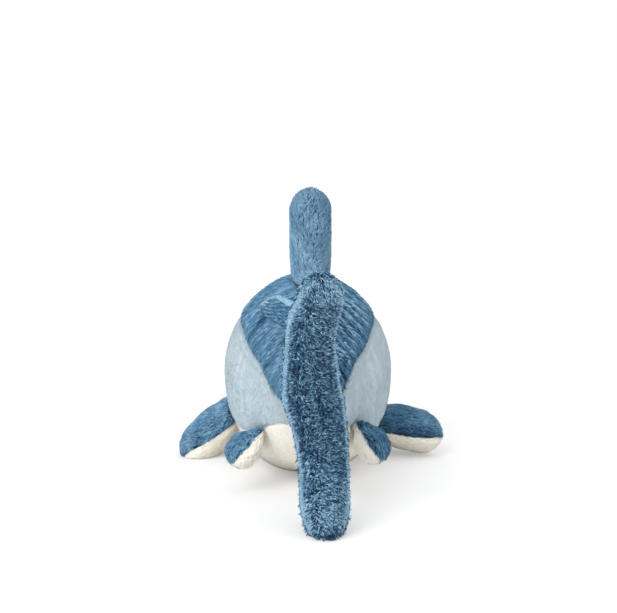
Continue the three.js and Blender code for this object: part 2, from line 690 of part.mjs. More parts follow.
// A fin with a thin, round root that turns on its seam, seated a gap away from the skin.
function buildHingedFin(names, materials, size, seatY, level, side, outward) {
  const reach = size.chord / 3;
  const skin = (y) => skinPoint(y, level, side);
  const alongSeam = skin(seatY + reach).sub(skin(seatY - reach));
  const offSkin = size.rootThickness / 2 + SEAT_GAP;
  const seat = skin(seatY).addScaledVector(skinNormal(seatY, level, side), offSkin);
  const group = new THREE.Group();
  group.position.copy(seat);
  group.userData.hingeAxis = alongSeam.clone().normalize();
  const stand = placement(seat, outward, alongSeam);
  const { panels, stuffing } = finPieces(
    (inside) => finGeometry(size, inside).applyMatrix4(stand),
    (solid, inside) => solid.intersect(aboveLevel(inside)),
    halvesOf(stand),
  );
  // The middle plane's first side faces up on a right fin and down on a left one.
  const [upper, lower] = side === LEFT ? [panels[1], panels[0]] : panels;
  return addPieces(group, [
    [names[0], upper, materials[0]],
    [names[1], lower, materials[1]],
    [names[2], stuffing, fibre],
  ]);
}

function buildRearDorsal() {
  const flop = THREE.MathUtils.degToRad(REAR_DORSAL_FLOP);
  const size = {
    length: REAR_DORSAL_LENGTH,
    chord: REAR_DORSAL_CHORD,
    tipChord: REAR_DORSAL_TIP_CHORD,
    thickness: REAR_DORSAL_THICKNESS,
    rootThickness: REAR_DORSAL_ROOT_THICKNESS,
    sweep: REAR_DORSAL_SWEEP,
    roundedFrom: BLUNT_SHARE,
    sides: SMALL_FIN_SIDES,
    steps: SMALL_FIN_STEPS,
  };
  return buildHingedFin(
    ["rear_dorsal_panel_left", "rear_dorsal_panel_right", "rear_dorsal_stuffing"],
    [blue, blue],
    size,
    lengthwise(REAR_DORSAL_SHARE),
    1,
    RIGHT,
    new THREE.Vector3(-Math.sin(flop), 0, Math.cos(flop)),
  );
}

function buildPectoral(side, word) {
  const droop = THREE.MathUtils.degToRad(PECTORAL_DROOP[word]);
  const size = {
    length: PECTORAL_LENGTH,
    chord: PECTORAL_CHORD,
    tipChord: PECTORAL_TIP_CHORD,
    thickness: PECTORAL_THICKNESS,
    rootThickness: PECTORAL_ROOT_THICKNESS,
    sweep: PECTORAL_SWEEP,
    roundedFrom: ROUND_SHARE,
    sides: FIN_SIDES,
    steps: FIN_STEPS,
  };
  return buildHingedFin(
    [`pectoral_${word}_top_panel`, `pectoral_${word}_under_panel`, `pectoral_${word}_stuffing`],
    [blue, cream],
    size,
    lengthwise(PECTORAL_SHARE),
    PECTORAL_LEVEL[word],
    side,
    new THREE.Vector3(side * Math.cos(droop), 0, -Math.sin(droop)),
  );
}

function buildPelvic(side, word) {
  const droop = THREE.MathUtils.degToRad(PELVIC_DROOP[word]);
  const size = {
    length: PELVIC_LENGTH,
    chord: PELVIC_CHORD,
    tipChord: PELVIC_TIP_CHORD,
    thickness: PELVIC_THICKNESS,
    rootThickness: PELVIC_ROOT_THICKNESS,
    sweep: PELVIC_SWEEP,
    roundedFrom: ROUND_SHARE,
    sides: SMALL_FIN_SIDES,
    steps: SMALL_FIN_STEPS,
  };
  return buildHingedFin(
    [`pelvic_${word}_outer_panel`, `pelvic_${word}_inner_panel`, `pelvic_${word}_stuffing`],
    [blue, cream],
    size,
    lengthwise(PELVIC_SHARE),
    PELVIC_LEVEL[word],
    side,
    new THREE.Vector3(side * Math.cos(droop), 0, -Math.sin(droop)),
  );
}

const swordfish = new THREE.Group();
swordfish.add(buildBody(), buildBill(), buildTail(), buildDorsal(), buildRearDorsal());
for (const [side, word] of [[LEFT, "left"], [RIGHT, "right"]]) {
  swordfish.add(buildPectoral(side, word), buildPelvic(side, word));
}

export default swordfish;
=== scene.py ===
import json
import math
from functools import partial

import bpy
import numpy as np
from bpy.props import FloatProperty, FloatVectorProperty, IntProperty, PointerProperty
from mathutils import Matrix, Vector


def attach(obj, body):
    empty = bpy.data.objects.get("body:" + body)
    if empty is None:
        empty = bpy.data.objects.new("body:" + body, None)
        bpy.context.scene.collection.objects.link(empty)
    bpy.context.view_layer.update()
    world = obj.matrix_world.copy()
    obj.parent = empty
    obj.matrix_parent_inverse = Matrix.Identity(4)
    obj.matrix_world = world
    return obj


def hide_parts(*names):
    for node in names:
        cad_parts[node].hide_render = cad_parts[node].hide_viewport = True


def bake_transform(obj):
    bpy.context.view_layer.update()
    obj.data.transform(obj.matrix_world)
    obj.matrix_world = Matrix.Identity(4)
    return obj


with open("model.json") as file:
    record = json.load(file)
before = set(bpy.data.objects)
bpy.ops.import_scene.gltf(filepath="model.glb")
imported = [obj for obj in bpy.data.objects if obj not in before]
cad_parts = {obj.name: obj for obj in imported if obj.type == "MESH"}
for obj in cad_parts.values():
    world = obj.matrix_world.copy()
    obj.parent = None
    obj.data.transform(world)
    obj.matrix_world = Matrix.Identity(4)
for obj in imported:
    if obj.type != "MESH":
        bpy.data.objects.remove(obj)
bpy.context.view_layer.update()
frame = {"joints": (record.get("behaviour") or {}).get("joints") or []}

bl_info = {
    "name": "Plush Swordfish",
    "version": (1, 0, 0),
    "blender": (4, 5, 0),
    "location": "3D View > Sidebar > Swordfish",
    "description": "Fur, face and stage for a plush swordfish lying on its belly",
    "category": "Add Mesh",
}

MM = 0.001

# The sizes of the frame's solids, in millimetres.
BODY_LENGTH = 306
BODY_WIDTH = 133
BODY_HEIGHT = 146
REST_TO_TAIL = 149.94  # from the origin back to the end seam of the body
TAIL_STEM_WIDTH = 35
TAIL_STEM_HEIGHT = 38
SNOUT_DOME = 12
LOWER_FULLNESS = 2.4  # powers of the two halves of a section, where 2 is an ellipse
UPPER_FULLNESS = 1.84

BILL_LENGTH = 132
BILL_TUCK = 2
BILL_ROOT = (42, 33)  # width and height
BILL_TIP = (13, 11)
BILL_RISE = 8
BILL_TAPER = 1.35
BILL_CLOSES = 0.93  # the share of its length from which it rounds off
SNOUT_HALF = (23.3, 17.5)  # half the width and height of the snout where the bill leaves it

TAIL_MIDDLE_Z = 86.5
TAIL_HALF_HEIGHT = 90.5
TAIL_MIDDLE_Y = -179.94
TAIL_SWEEP = 40
TAIL_CHORD = (45, 14)  # at the middle, and how much less at the tips
TAIL_THICKNESS = (33, 9)  # of the lobes, and how much more at the middle
TAIL_SWELL = 0.55  # the share of each lobe over which that fades
TAIL_CLOSES = 0.72
SOCKET_GAP = 0.3  # between the tail fin and the stem's round end
FILLING_INSET = 3.6  # from the skin to the loose fibre inside it
LUMP_SIZE = 11  # across, of the unevenness of the fibre
LUMP_DEPTH = 0.5

EYE_SHARE = 0.856  # of the body's length
EYE_LEVEL = 0.13  # of the half-height there
EYE_RADIUS = 5.5
EYE_DOME = 4.2
STEM_RADIUS = 1.8
WASHER_RADIUS = 6
WASHER_TOP = -2.9
WASHER_ROOM = (3.5, 9)  # how much deeper the filling lies behind a washer, and how far round it

# In a fin, closes is the share of its length from which it thins out to its tip, and depth is how
# far a root that isn't rounded goes into the body.
DORSAL = dict(
    length=72, chord=74, tip_chord=38, thickness=33, root=31, sweep=26, closes=0.72, depth=10
)
REAR_DORSAL = dict(
    length=40, chord=34, tip_chord=25, thickness=21, root=14, sweep=9, closes=0.82, depth=0
)
PECTORAL = dict(
    length=48, chord=56, tip_chord=44, thickness=36, root=28, sweep=18, closes=0.6, depth=0
)
PELVIC = dict(
    length=29, chord=36, tip_chord=28, thickness=25, root=12, sweep=7, closes=0.6, depth=0
)
FIN_SWELL = 0.36  # the share over which a fin thickens from its root
FIN_ROUNDS = 0.45  # the share from which its chord rounds off
SWEEP_POWER = 1.4
ROOT_SUNK = 2.6  # how deep the root of a hinged fin may reach under the skin
HINGE_HOLD = (0.002, 0.014)  # metres before a hinged fin's seam and past it, of the two places in its hold

# Degrees by which the fins lie over, and what hinged_fin calls drops.
REAR_DORSAL_FLOP = 50
PECTORAL_DROOP = {"left": 44, "right": 9}
PELVIC_DROOP = {"left": 46, "right": 54}
PECTORAL_DROPS = {"left": (30, -40), "right": (10, -8)}
NO_DROPS = {"left": (0, 0), "right": (0, 0)}

# The cloth and the fur.
PUCKER_PITCH = 9
SEAM_REACH = 3.2
JOIN_CLOTH = 0.00005  # metres within which edges that meet are joined
JOIN_SKIN = 0.00003
FUR_VALUES = ("pile", "lift", "frizz", "shade", "thick")
FACES_OUT = 0.6  # the least cosine from the panel's outward way at which fur grows
GATHER = 3.2  # how strongly frizz bends locks to their clumps, into clouds and each its own way
WANDER = 5.0
STRAY = 0.55
TONES = (0.03, 0.97)
FLOOR_GAP = 0.0002  # metres
RIDGE_PITCH = 14  # millimetres between the ridges and the bands of the back's fur
BAND_PITCH = 19
ROW_PITCH = 3  # and between the rows of the rear dorsal fin's
ROUND_BOTH_ENDS = (-0.95, 0, 1, 1.85)  # how far a panel goes round the body's end domes

# The camera and the lamps, in metres and degrees.
CAMERA_PLACE = (0.00054, -1.3, 0.322)
CAMERA_DIP = 8.71
SENSOR_MM = 36
FOCAL_PIXELS = 1680
VIEW_PIXELS = 617
WHITE = (1, 1, 1, 1)
LAMPS = (("key", (-0.75, -1.15, 1.0), 36, 1.9), ("top", (0.3, -0.2, 1.5), 60, 0.5))

LEFT = -1
RIGHT = 1
SIDES = ((LEFT, "left"), (RIGHT, "right"))
QUARTER = math.pi / 2
TINY = 1e-3


def screen_colour(red, green, blue):
    """A colour as it looks on a screen, from 0 to 255, as the light that it stands for."""
    return tuple(
        value / 255 / 12.92 if value <= 10 else ((value / 255 + 0.055) / 1.055) ** 2.4
        for value in (red, green, blue)
    )


def length_setting(name, description, default):
    return FloatProperty(name=name, description=description, default=default, unit="LENGTH")


def colour_setting(name, description, *levels):
    return FloatVectorProperty(
        name=name, description=description, subtype="COLOR", size=3,
        default=screen_colour(*levels), min=0, max=1,
    )


class PlushSizes(bpy.types.PropertyGroup):
    pile_back: length_setting("Back pile", "Length of the fur on the back", 0.0062)
    pile_side: length_setting("Side pile", "Length of the fur on the sides, belly and bill", 0.0042)
    pile_tail: length_setting("Tail pile", "Length of the bushy fur on the tail fin", 0.0042)
    pile_fin: length_setting("Fin pile", "Length of the fur on the other fins", 0.005)
    strand_width: length_setting("Strand width", "Width of one lock of fur", 0.0009)
    backing: length_setting("Backing", "Thickness of the cloth under the fur", 0.0005)
    seam_depth: length_setting("Seam depth", "How far the seams draw the cloth in", 0.0016)
    seed: IntProperty(name="Seed", description="Which scatter of locks is used", default=4)


class PlushColours(bpy.types.PropertyGroup):
    blue: colour_setting("Blue", "Tips of the blue fur", 90, 141, 176)
    blue_light: colour_setting("Light blue", "The lightest locks of the blue fur", 168, 206, 228)
    blue_dark: colour_setting("Dark blue", "The darkest locks of the blue fur", 8, 48, 82)
    blue_root: colour_setting("Blue root", "Roots and backing of the blue fur", 5, 34, 62)
    pale: colour_setting("Pale blue", "Fur of the sides", 168, 185, 194)
    cream: colour_setting("Cream", "Fur of the belly and under the fins", 237, 233, 222)
    eye: colour_setting("Eye", "Plastic of the eyes", 14, 14, 17)


class Wire:
    """One output of a node. Arithmetic on it adds the nodes for the sum."""

    def __init__(self, board, node, output=0):
        self.board = board
        self.node = node
        live = [socket for socket in node.outputs if socket.enabled]
        named = [socket for socket in live if socket.name == output]
        self.socket = named[0] if named else live[output]

    def out(self, output):
        return Wire(self.board, self.node, output)

    def sum(self, operation, first, second):
        wires = [wire for wire in (first, second) if isinstance(wire, Wire)]
        is_vector = any(wire.socket.type in ("VECTOR", "RGBA") for wire in wires)
        kind = "ShaderNodeVectorMath" if is_vector else "ShaderNodeMath"
        return self.board.add(kind, {0: first, 1: second}, operation=operation)

    def __add__(self, other):
        return self.sum("ADD", self, other)

    def __sub__(self, other):
        return self.sum("SUBTRACT", self, other)

    def __rsub__(self, other):
        return self.sum("SUBTRACT", other, self)

    def __mul__(self, other):
        return self.sum("MULTIPLY", self, other)

    def within(self, low, high):
        return self.board.add("ShaderNodeClamp", {"Value": self, "Min": low, "Max": high})

    def part(self, axis):
        return self.board.add("ShaderNodeSeparateXYZ", {0: self}, axis)


class Board:
    """The nodes of one tree."""

    def __init__(self, tree):
        self.tree = tree

    def add(self, kind, inputs=None, output=0, **settings):
        node = self.tree.nodes.new(kind)
        for name, value in settings.items():
            setattr(node, name, value)
        live = [socket for socket in node.inputs if socket.enabled]
        for key, value in (inputs or {}).items():
            socket = live[key] if isinstance(key, int) else next(s for s in live if s.name == key)
            if isinstance(value, Wire):
                self.tree.links.new(value.socket, socket)
            elif isinstance(value, (int, float)) and hasattr(socket.default_value, "__len__"):
                socket.default_value = [value] * len(socket.default_value)
            else:
                socket.default_value = value
        return Wire(self, node, output)

    def blend_colours(self, factor, first, second):
        inputs = {"Factor": factor, "A": first, "B": second}
        return self.add("ShaderNodeMix", inputs, "Result", data_type="RGBA")

    def end(self, kind, wire):
        self.tree.links.new(wire.socket, self.tree.nodes.new(kind).inputs[0])


def blank_board(holder):
    """The board of a material or world, with nothing on it."""
    holder.use_nodes = True
    holder.node_tree.nodes.clear()
    return Board(holder.node_tree)


def smooth_line(pairs):
    """A smooth line through (place, value) pairs, as a function of the place."""
    places = np.array([place for place, _ in pairs], float)
    values = np.array([value for _, value in pairs], float)
    last = len(pairs) - 1
    before = np.maximum(np.arange(last + 1) - 1, 0)
    after = np.minimum(np.arange(last + 1) + 1, last)
    slopes = (values[after] - values[before]) / (places[after] - places[before])

    def line(place):
        place = np.asarray(place, float)
        at = np.clip(np.searchsorted(places, place, side="right") - 1, 0, last - 1)
        span = places[at + 1] - places[at]
        t = np.clip((place - places[at]) / span, 0, 1)
        rise = values[at + 1] - values[at]
        bend_in = slopes[at] * span - rise
        bend_out = slopes[at + 1] * span - rise
        return values[at] + rise * t + t * (1 - t) * (bend_in * (1 - t) - bend_out * t)

    return line


def scaled(pairs, size):
    return [(place, value * size) for place, value in pairs]


plan_line = smooth_line(
    [(0, TAIL_STEM_WIDTH / 2)]
    + scaled(
        [(0.07, 0.38), (0.2, 0.63), (0.34, 0.87), (0.49, 1), (0.6, 1), (0.74, 0.9)]
        + [(0.87, 0.68), (1, 0.35)],
        BODY_WIDTH / 2,
    )
)
back_line = smooth_line(
    [(0, TAIL_MIDDLE_Z + TAIL_STEM_HEIGHT / 2)]
    + scaled(
        [(0.08, 0.76), (0.2, 0.85), (0.34, 0.94), (0.5, 1), (0.6, 1), (0.74, 0.94)]
        + [(0.87, 0.81), (1, 0.62)],
        BODY_HEIGHT,
    )
)
belly_line = smooth_line(
    [(0, TAIL_MIDDLE_Z - TAIL_STEM_HEIGHT / 2)]
    + scaled([(0.08, 0.34), (0.2, 0.13), (0.31, 0.02)], BODY_HEIGHT)
    + [(0.4, -0.5), (0.6, -0.5)]
    + scaled([(0.74, 0.05), (0.87, 0.18), (1, 0.38)], BODY_HEIGHT)
)
upper_seam = smooth_line(
    [(0, -0.5), (0.05, -0.1), (0.16, 0.38), (0.29, 0.5), (0.45, 0.54), (0.8, 0.48), (1, 0.15)]
)
lower_seam = smooth_line(
    [(0, -2.2), (0.05, -1.05), (0.12, -0.62), (0.25, -0.52), (0.49, -0.5), (0.8, -0.42), (1, -0.35)]
)
tail_drift = smooth_line(
    [(-1, 12.15), (-0.35, 9.9), (0.05, 3.15), (0.4, 1.8), (0.6, 3.06), (0.8, 8.1), (1, 8.55)]
)


def signed_power(value, power):
    return np.sign(value) * np.abs(value) ** power


def rounded_off(share, start):
    past = np.maximum(0, (share - start) / (1 - start))
    return np.sqrt(np.maximum(0, 1 - past**2))


def hump(value, middle, width):
    return np.exp(-(((value - middle) / width) ** 2))


def step_up(value, low, high):
    t = np.clip((value - low) / (high - low), 0, 1)
    return t * t * (3 - 2 * t)


def ripple(points, size, seed):
    """Soft unevenness, mostly from -1 to 1, with features about size millimetres across."""
    rng = np.random.default_rng(seed)
    total = np.zeros(len(points))
    for _ in range(6):
        way = rng.normal(size=3)
        way /= np.linalg.norm(way)
        phase = points @ way * (math.tau / size) * rng.uniform(0.6, 1.5)
        total += np.sin(phase + rng.uniform(0, math.tau))
    return total / 3


def turn_at(level):
    """The turn round a section at which it reaches a level, given as a share of its half-height."""
    level = np.clip(level, -1, 1)
    fullness = np.where(level < 0, LOWER_FULLNESS, UPPER_FULLNESS)
    return np.sign(level) * np.arcsin(np.abs(level) ** (fullness / 2))


def body_skin(along, turn, inset):
    """Points of the body: along is 0 to 1 between its end seams, and one more round each dome."""
    share = np.clip(along, 0, 1)
    tail_turn = np.clip(-along, 0, 1) * QUARTER
    snout_turn = np.clip(along - 1, 0, 1) * QUARTER
    close = np.cos(tail_turn) * np.cos(snout_turn)
    top = back_line(share)
    bottom = belly_line(share)
    power = 2 / np.where(np.sin(turn) < 0, LOWER_FULLNESS, UPPER_FULLNESS)
    x = (plan_line(share) - inset) * close * signed_power(np.cos(turn), power)
    half_height = ((top - bottom) / 2 - inset) * close
    z = (top + bottom) / 2 + half_height * signed_power(np.sin(turn), power)
    y = -REST_TO_TAIL + BODY_LENGTH * share - (TAIL_STEM_WIDTH / 2 - inset) * np.sin(tail_turn)
    y = y + (SNOUT_DOME - inset) * np.sin(snout_turn)
    return np.stack([x, y, np.maximum(z, inset)], axis=1)


def fin_skin(size, reach, turn, inset):
    """Points of a stuffed fin along +X.

    reach is 0 to 1 from its seam to its tip, down to -1 round its root and to -2 to close it.
    """
    root_turn = np.clip(-reach, 0, 1) * QUARTER
    shut = np.clip(reach + 2, 0, 1)
    share = np.sin(QUARTER * np.clip(reach, 0, 1))
    root_radius = size["root"] / 2 - inset
    if size["depth"]:
        x_root = -(size["depth"] - inset) * np.clip(-reach, 0, 1)
        close = 1
        chord_cut = 0
    else:
        x_root = -root_radius * np.sin(root_turn)
        close = np.cos(root_turn)
        chord_cut = root_radius * (1 - np.cos(root_turn))
    x = (size["length"] - inset) * share + x_root
    swell = np.sin(QUARTER * np.minimum(1, share / FIN_SWELL))
    thickness = size["root"] + (size["thickness"] - size["root"]) * swell
    half_thickness = (thickness / 2 - inset) * rounded_off(share, size["closes"]) * close * shut
    chord = size["chord"] + (size["tip_chord"] - size["chord"]) * share
    half_chord = ((chord / 2 - inset) * rounded_off(share, FIN_ROUNDS) - chord_cut) * shut
    middle = -size["sweep"] * np.maximum(0, x / size["length"]) ** SWEEP_POWER
    y = middle + half_chord * np.cos(turn)
    return np.stack([x, y, half_thickness * np.sin(turn)], axis=1)


def tail_skin(share, turn, inset):
    """Points of the tail fin: share is -1 to 1 from the lower lobe to the upper one."""
    half_height = TAIL_HALF_HEIGHT - inset
    along_y = -2 * TAIL_SWEEP * share
    length = np.hypot(along_y, half_height)
    chordwise_y = half_height / length
    chordwise_z = -along_y / length
    reach = np.abs(share)
    close = rounded_off(reach, TAIL_CLOSES)
    half_chord = ((TAIL_CHORD[0] - TAIL_CHORD[1] * reach) / 2 - inset) * close
    swell = np.maximum(0, 1 - reach / TAIL_SWELL) ** 1.5
    half_thickness = ((TAIL_THICKNESS[0] + TAIL_THICKNESS[1] * swell) / 2 - inset) * close
    x = half_thickness * np.cos(turn)
    y = TAIL_MIDDLE_Y - TAIL_SWEEP * share**2 + chordwise_y * half_chord * np.sin(turn)
    z = TAIL_MIDDLE_Z + half_height * share + chordwise_z * half_chord * np.sin(turn)
    x = x + tail_drift((z - TAIL_MIDDLE_Z) / TAIL_HALF_HEIGHT)
    # The stem's round end presses a socket into the fin.
    tall = TAIL_STEM_HEIGHT / 2 + SOCKET_GAP + inset
    level = np.clip((z - TAIL_MIDDLE_Z) / tall, -1, 1)
    wide = (TAIL_STEM_WIDTH / 2 + SOCKET_GAP + inset) * np.sqrt(1 - level**2)
    away = np.maximum(np.hypot(x, y + REST_TO_TAIL), 1e-6)
    push = np.maximum(1, wide / away)
    x = x * push
    y = -REST_TO_TAIL + (y + REST_TO_TAIL) * push
    return np.stack([x, y, np.maximum(z, inset)], axis=1)


def bill_skin(share, turn, inset):
    """Points of the bill: share is 0 to 1 from the snout to its tip."""
    share = share * (1 - inset / BILL_LENGTH)
    taper = (1 - share) ** BILL_TAPER
    close = rounded_off(share / (1 - inset / BILL_LENGTH), BILL_CLOSES)
    half_width, half_height = (
        ((tip + (root - tip) * taper) / 2 - inset) * close for root, tip in zip(BILL_ROOT, BILL_TIP)
    )
    y = BODY_LENGTH - REST_TO_TAIL - BILL_TUCK + BILL_LENGTH * share
    z = snout_level() + BILL_RISE * share + half_height * np.sin(turn)
    return np.stack([half_width * np.cos(turn), y, z], axis=1)


def snout_level():
    return (back_line(1.0) + belly_line(1.0)) / 2


def stand(seat, outward, forward):
    """Where a fin stands: its seam's middle, the way that it points and its seam's line."""
    forward = Vector(forward).normalized()
    out = Vector(outward)
    out = (out - forward * out.dot(forward)).normalized()
    turned = Matrix((out, forward, out.cross(forward))).transposed().to_4x4()
    return Matrix.Translation(Vector(seat) / MM) @ turned


def moved(points, matrix):
    turned = np.array(matrix.to_3x3())
    return points @ turned.T + np.array(matrix.translation)


def off_body(points, clearance):
    """Points pressed out of the body, to lie at least a clearance away from its skin."""
    share = np.clip((points[:, 1] + REST_TO_TAIL) / BODY_LENGTH, 0, 1)
    top = back_line(share)
    bottom = belly_line(share)
    middle = (top + bottom) / 2
    half_width = plan_line(share) + clearance
    half_height = (top - bottom) / 2 + clearance
    level = (points[:, 2] - middle) / half_height
    fullness = np.where(level < 0, LOWER_FULLNESS, UPPER_FULLNESS)
    filled = np.abs(points[:, 0] / half_width) ** fullness + np.abs(level) ** fullness
    push = np.maximum(1, np.maximum(filled, 1e-6) ** (-1 / fullness))
    z = middle + level * half_height * push
    return np.stack([points[:, 0] * push, points[:, 1], z], axis=1)


def deselect_all():
    bpy.ops.object.select_all(action="DESELECT")


def only(piece):
    deselect_all()
    piece.select_set(True)
    bpy.context.view_layer.objects.active = piece


def apply_modifiers(piece):
    only(piece)
    for modifier in list(piece.modifiers):
        bpy.ops.object.modifier_apply(modifier=modifier.name)


def edit_all(piece, operator, **settings):
    """Runs a mesh operator on the whole of a piece."""
    only(piece)
    bpy.ops.object.mode_set(mode="EDIT")
    bpy.ops.mesh.select_all(action="SELECT")
    operator(**settings)
    bpy.ops.object.mode_set(mode="OBJECT")


def set_values(mesh, name, values, kind="FLOAT"):
    attribute = mesh.attributes.new(name, kind, "POINT")
    key = "vector" if kind == "FLOAT_VECTOR" else "value"
    attribute.data.foreach_set(key, np.asarray(values, np.float32).ravel())


def unit(vectors):
    return vectors / np.maximum(np.linalg.norm(vectors, axis=1, keepdims=True), 1e-9)


def fill(value, like):
    return np.broadcast_to(value, like.shape)[:, None]


def drawn_grid(name, rows, columns):
    """A grid with the place of each of its points along its rows and columns, from 0 to 1."""
    deselect_all()
    bpy.ops.mesh.primitive_grid_add(
        x_subdivisions=columns, y_subdivisions=rows, size=1, location=(0, 0, 0)
    )
    piece = bpy.context.object
    piece.name = name
    piece.data.name = name
    flat = np.zeros(len(piece.data.vertices) * 3)
    piece.data.vertices.foreach_get("co", flat)
    flat = flat.reshape(-1, 3)
    return piece, np.clip(flat[:, 1] + 0.5, 0, 1), np.clip(flat[:, 0] + 0.5, 0, 1)


def set_points(mesh, points):
    mesh.vertices.foreach_set("co", (points * MM).ravel())


def closed_skin(name, rows, columns, place, finish):
    """A closed piece: a grid wrapped round until its edges meet and join."""
    piece, u, v = drawn_grid(name, rows, columns)
    set_points(piece.data, place(u, v))
    edit_all(piece, bpy.ops.mesh.remove_doubles, threshold=JOIN_SKIN)
    edit_all(piece, bpy.ops.mesh.normals_make_consistent, inside=False)
    bpy.ops.object.shade_smooth_by_angle(angle=math.radians(50))
    piece.data.materials.append(finish)
    return piece


def cloth_panel(name, rows, columns, place, dress):
    """One panel of cloth: a grid drawn over a place in the fish, with the lay of its fur.

    dress gives the lay. In it, along, across and over comb the fur along u, along v and along a
    fixed way, inset is how deep the cloth lies, and width is the panel's from seam to seam.
    """
    sizes = bpy.context.scene.plush_sizes
    panel, u, v = drawn_grid(name, rows, columns)
    mesh = panel.data
    points = place(u, v, 0)
    way_u = unit(place(np.minimum(u + TINY, 1), v, 0) - place(np.maximum(u - TINY, 0), v, 0))
    way_v = unit(place(u, np.minimum(v + TINY, 1), 0) - place(u, np.maximum(v - TINY, 0), 0))
    face = unit(np.cross(way_u, way_v))
    face *= np.sign(np.sum(face * (points - place(u, v, 1.0))))
    lay = dress(u, v, points)
    pucker = 1 + 0.3 * np.sin(points[:, 1] * math.tau / PUCKER_PITCH + 3 * v)
    near_seam = hump(np.minimum(v, 1 - v) * lay["width"], 0, SEAM_REACH)
    drawn_in = lay.get("seam", 1.0) * sizes.seam_depth / MM * near_seam * pucker
    set_points(mesh, place(u, v, lay["inset"] + drawn_in))
    set_values(mesh, "outward", face, "FLOAT_VECTOR")
    over = fill(lay.get("over", 0.0), u) * np.array(lay.get("over_way", (0, 0, 1)))
    comb = way_u * fill(lay["along"], u) + way_v * fill(lay["across"], u) + over
    set_values(mesh, "comb", unit(comb), "FLOAT_VECTOR")
    for key in FUR_VALUES:
        set_values(mesh, key, np.broadcast_to(lay.get(key, 1.0), u.shape))
    edit_all(panel, bpy.ops.mesh.remove_doubles, threshold=JOIN_CLOTH)
    outward = mesh.attributes["outward"].data
    facing = sum(face.normal.dot(outward[face.vertices[0]].vector) for face in mesh.polygons)
    if facing < 0:
        edit_all(panel, bpy.ops.mesh.flip_normals)
    solidify = panel.modifiers.new("Cloth", "SOLIDIFY")
    solidify.thickness = sizes.backing
    solidify.offset = -1
    apply_modifiers(panel)
    bpy.ops.object.shade_smooth()
    return panel


def lock_of_fur():
    """One lock: a slim closed leaf that rises from its root and bends over to its tip."""
    mesh = bpy.data.meshes.new("lock_of_fur")
    corners = [(0, 0, -0.12), (0, 0.36, 0.72), (-0.5, 0.42, 0.5), (0.5, 0.42, 0.5), (0, 1, 0.82)]
    faces = [(0, 1, 2), (1, 4, 2), (0, 2, 3), (2, 4, 3), (0, 3, 1), (3, 4, 1)]
    mesh.from_pydata(corners, [], faces)
    set_values(mesh, "height", (0, 0.55, 0.5, 0.5, 1))
    set_values(mesh, "side", (0, 0.3, -1, 1, 0))
    lock = bpy.data.objects.new("lock_of_fur", mesh)
    bpy.context.scene.collection.objects.link(lock)
    return lock


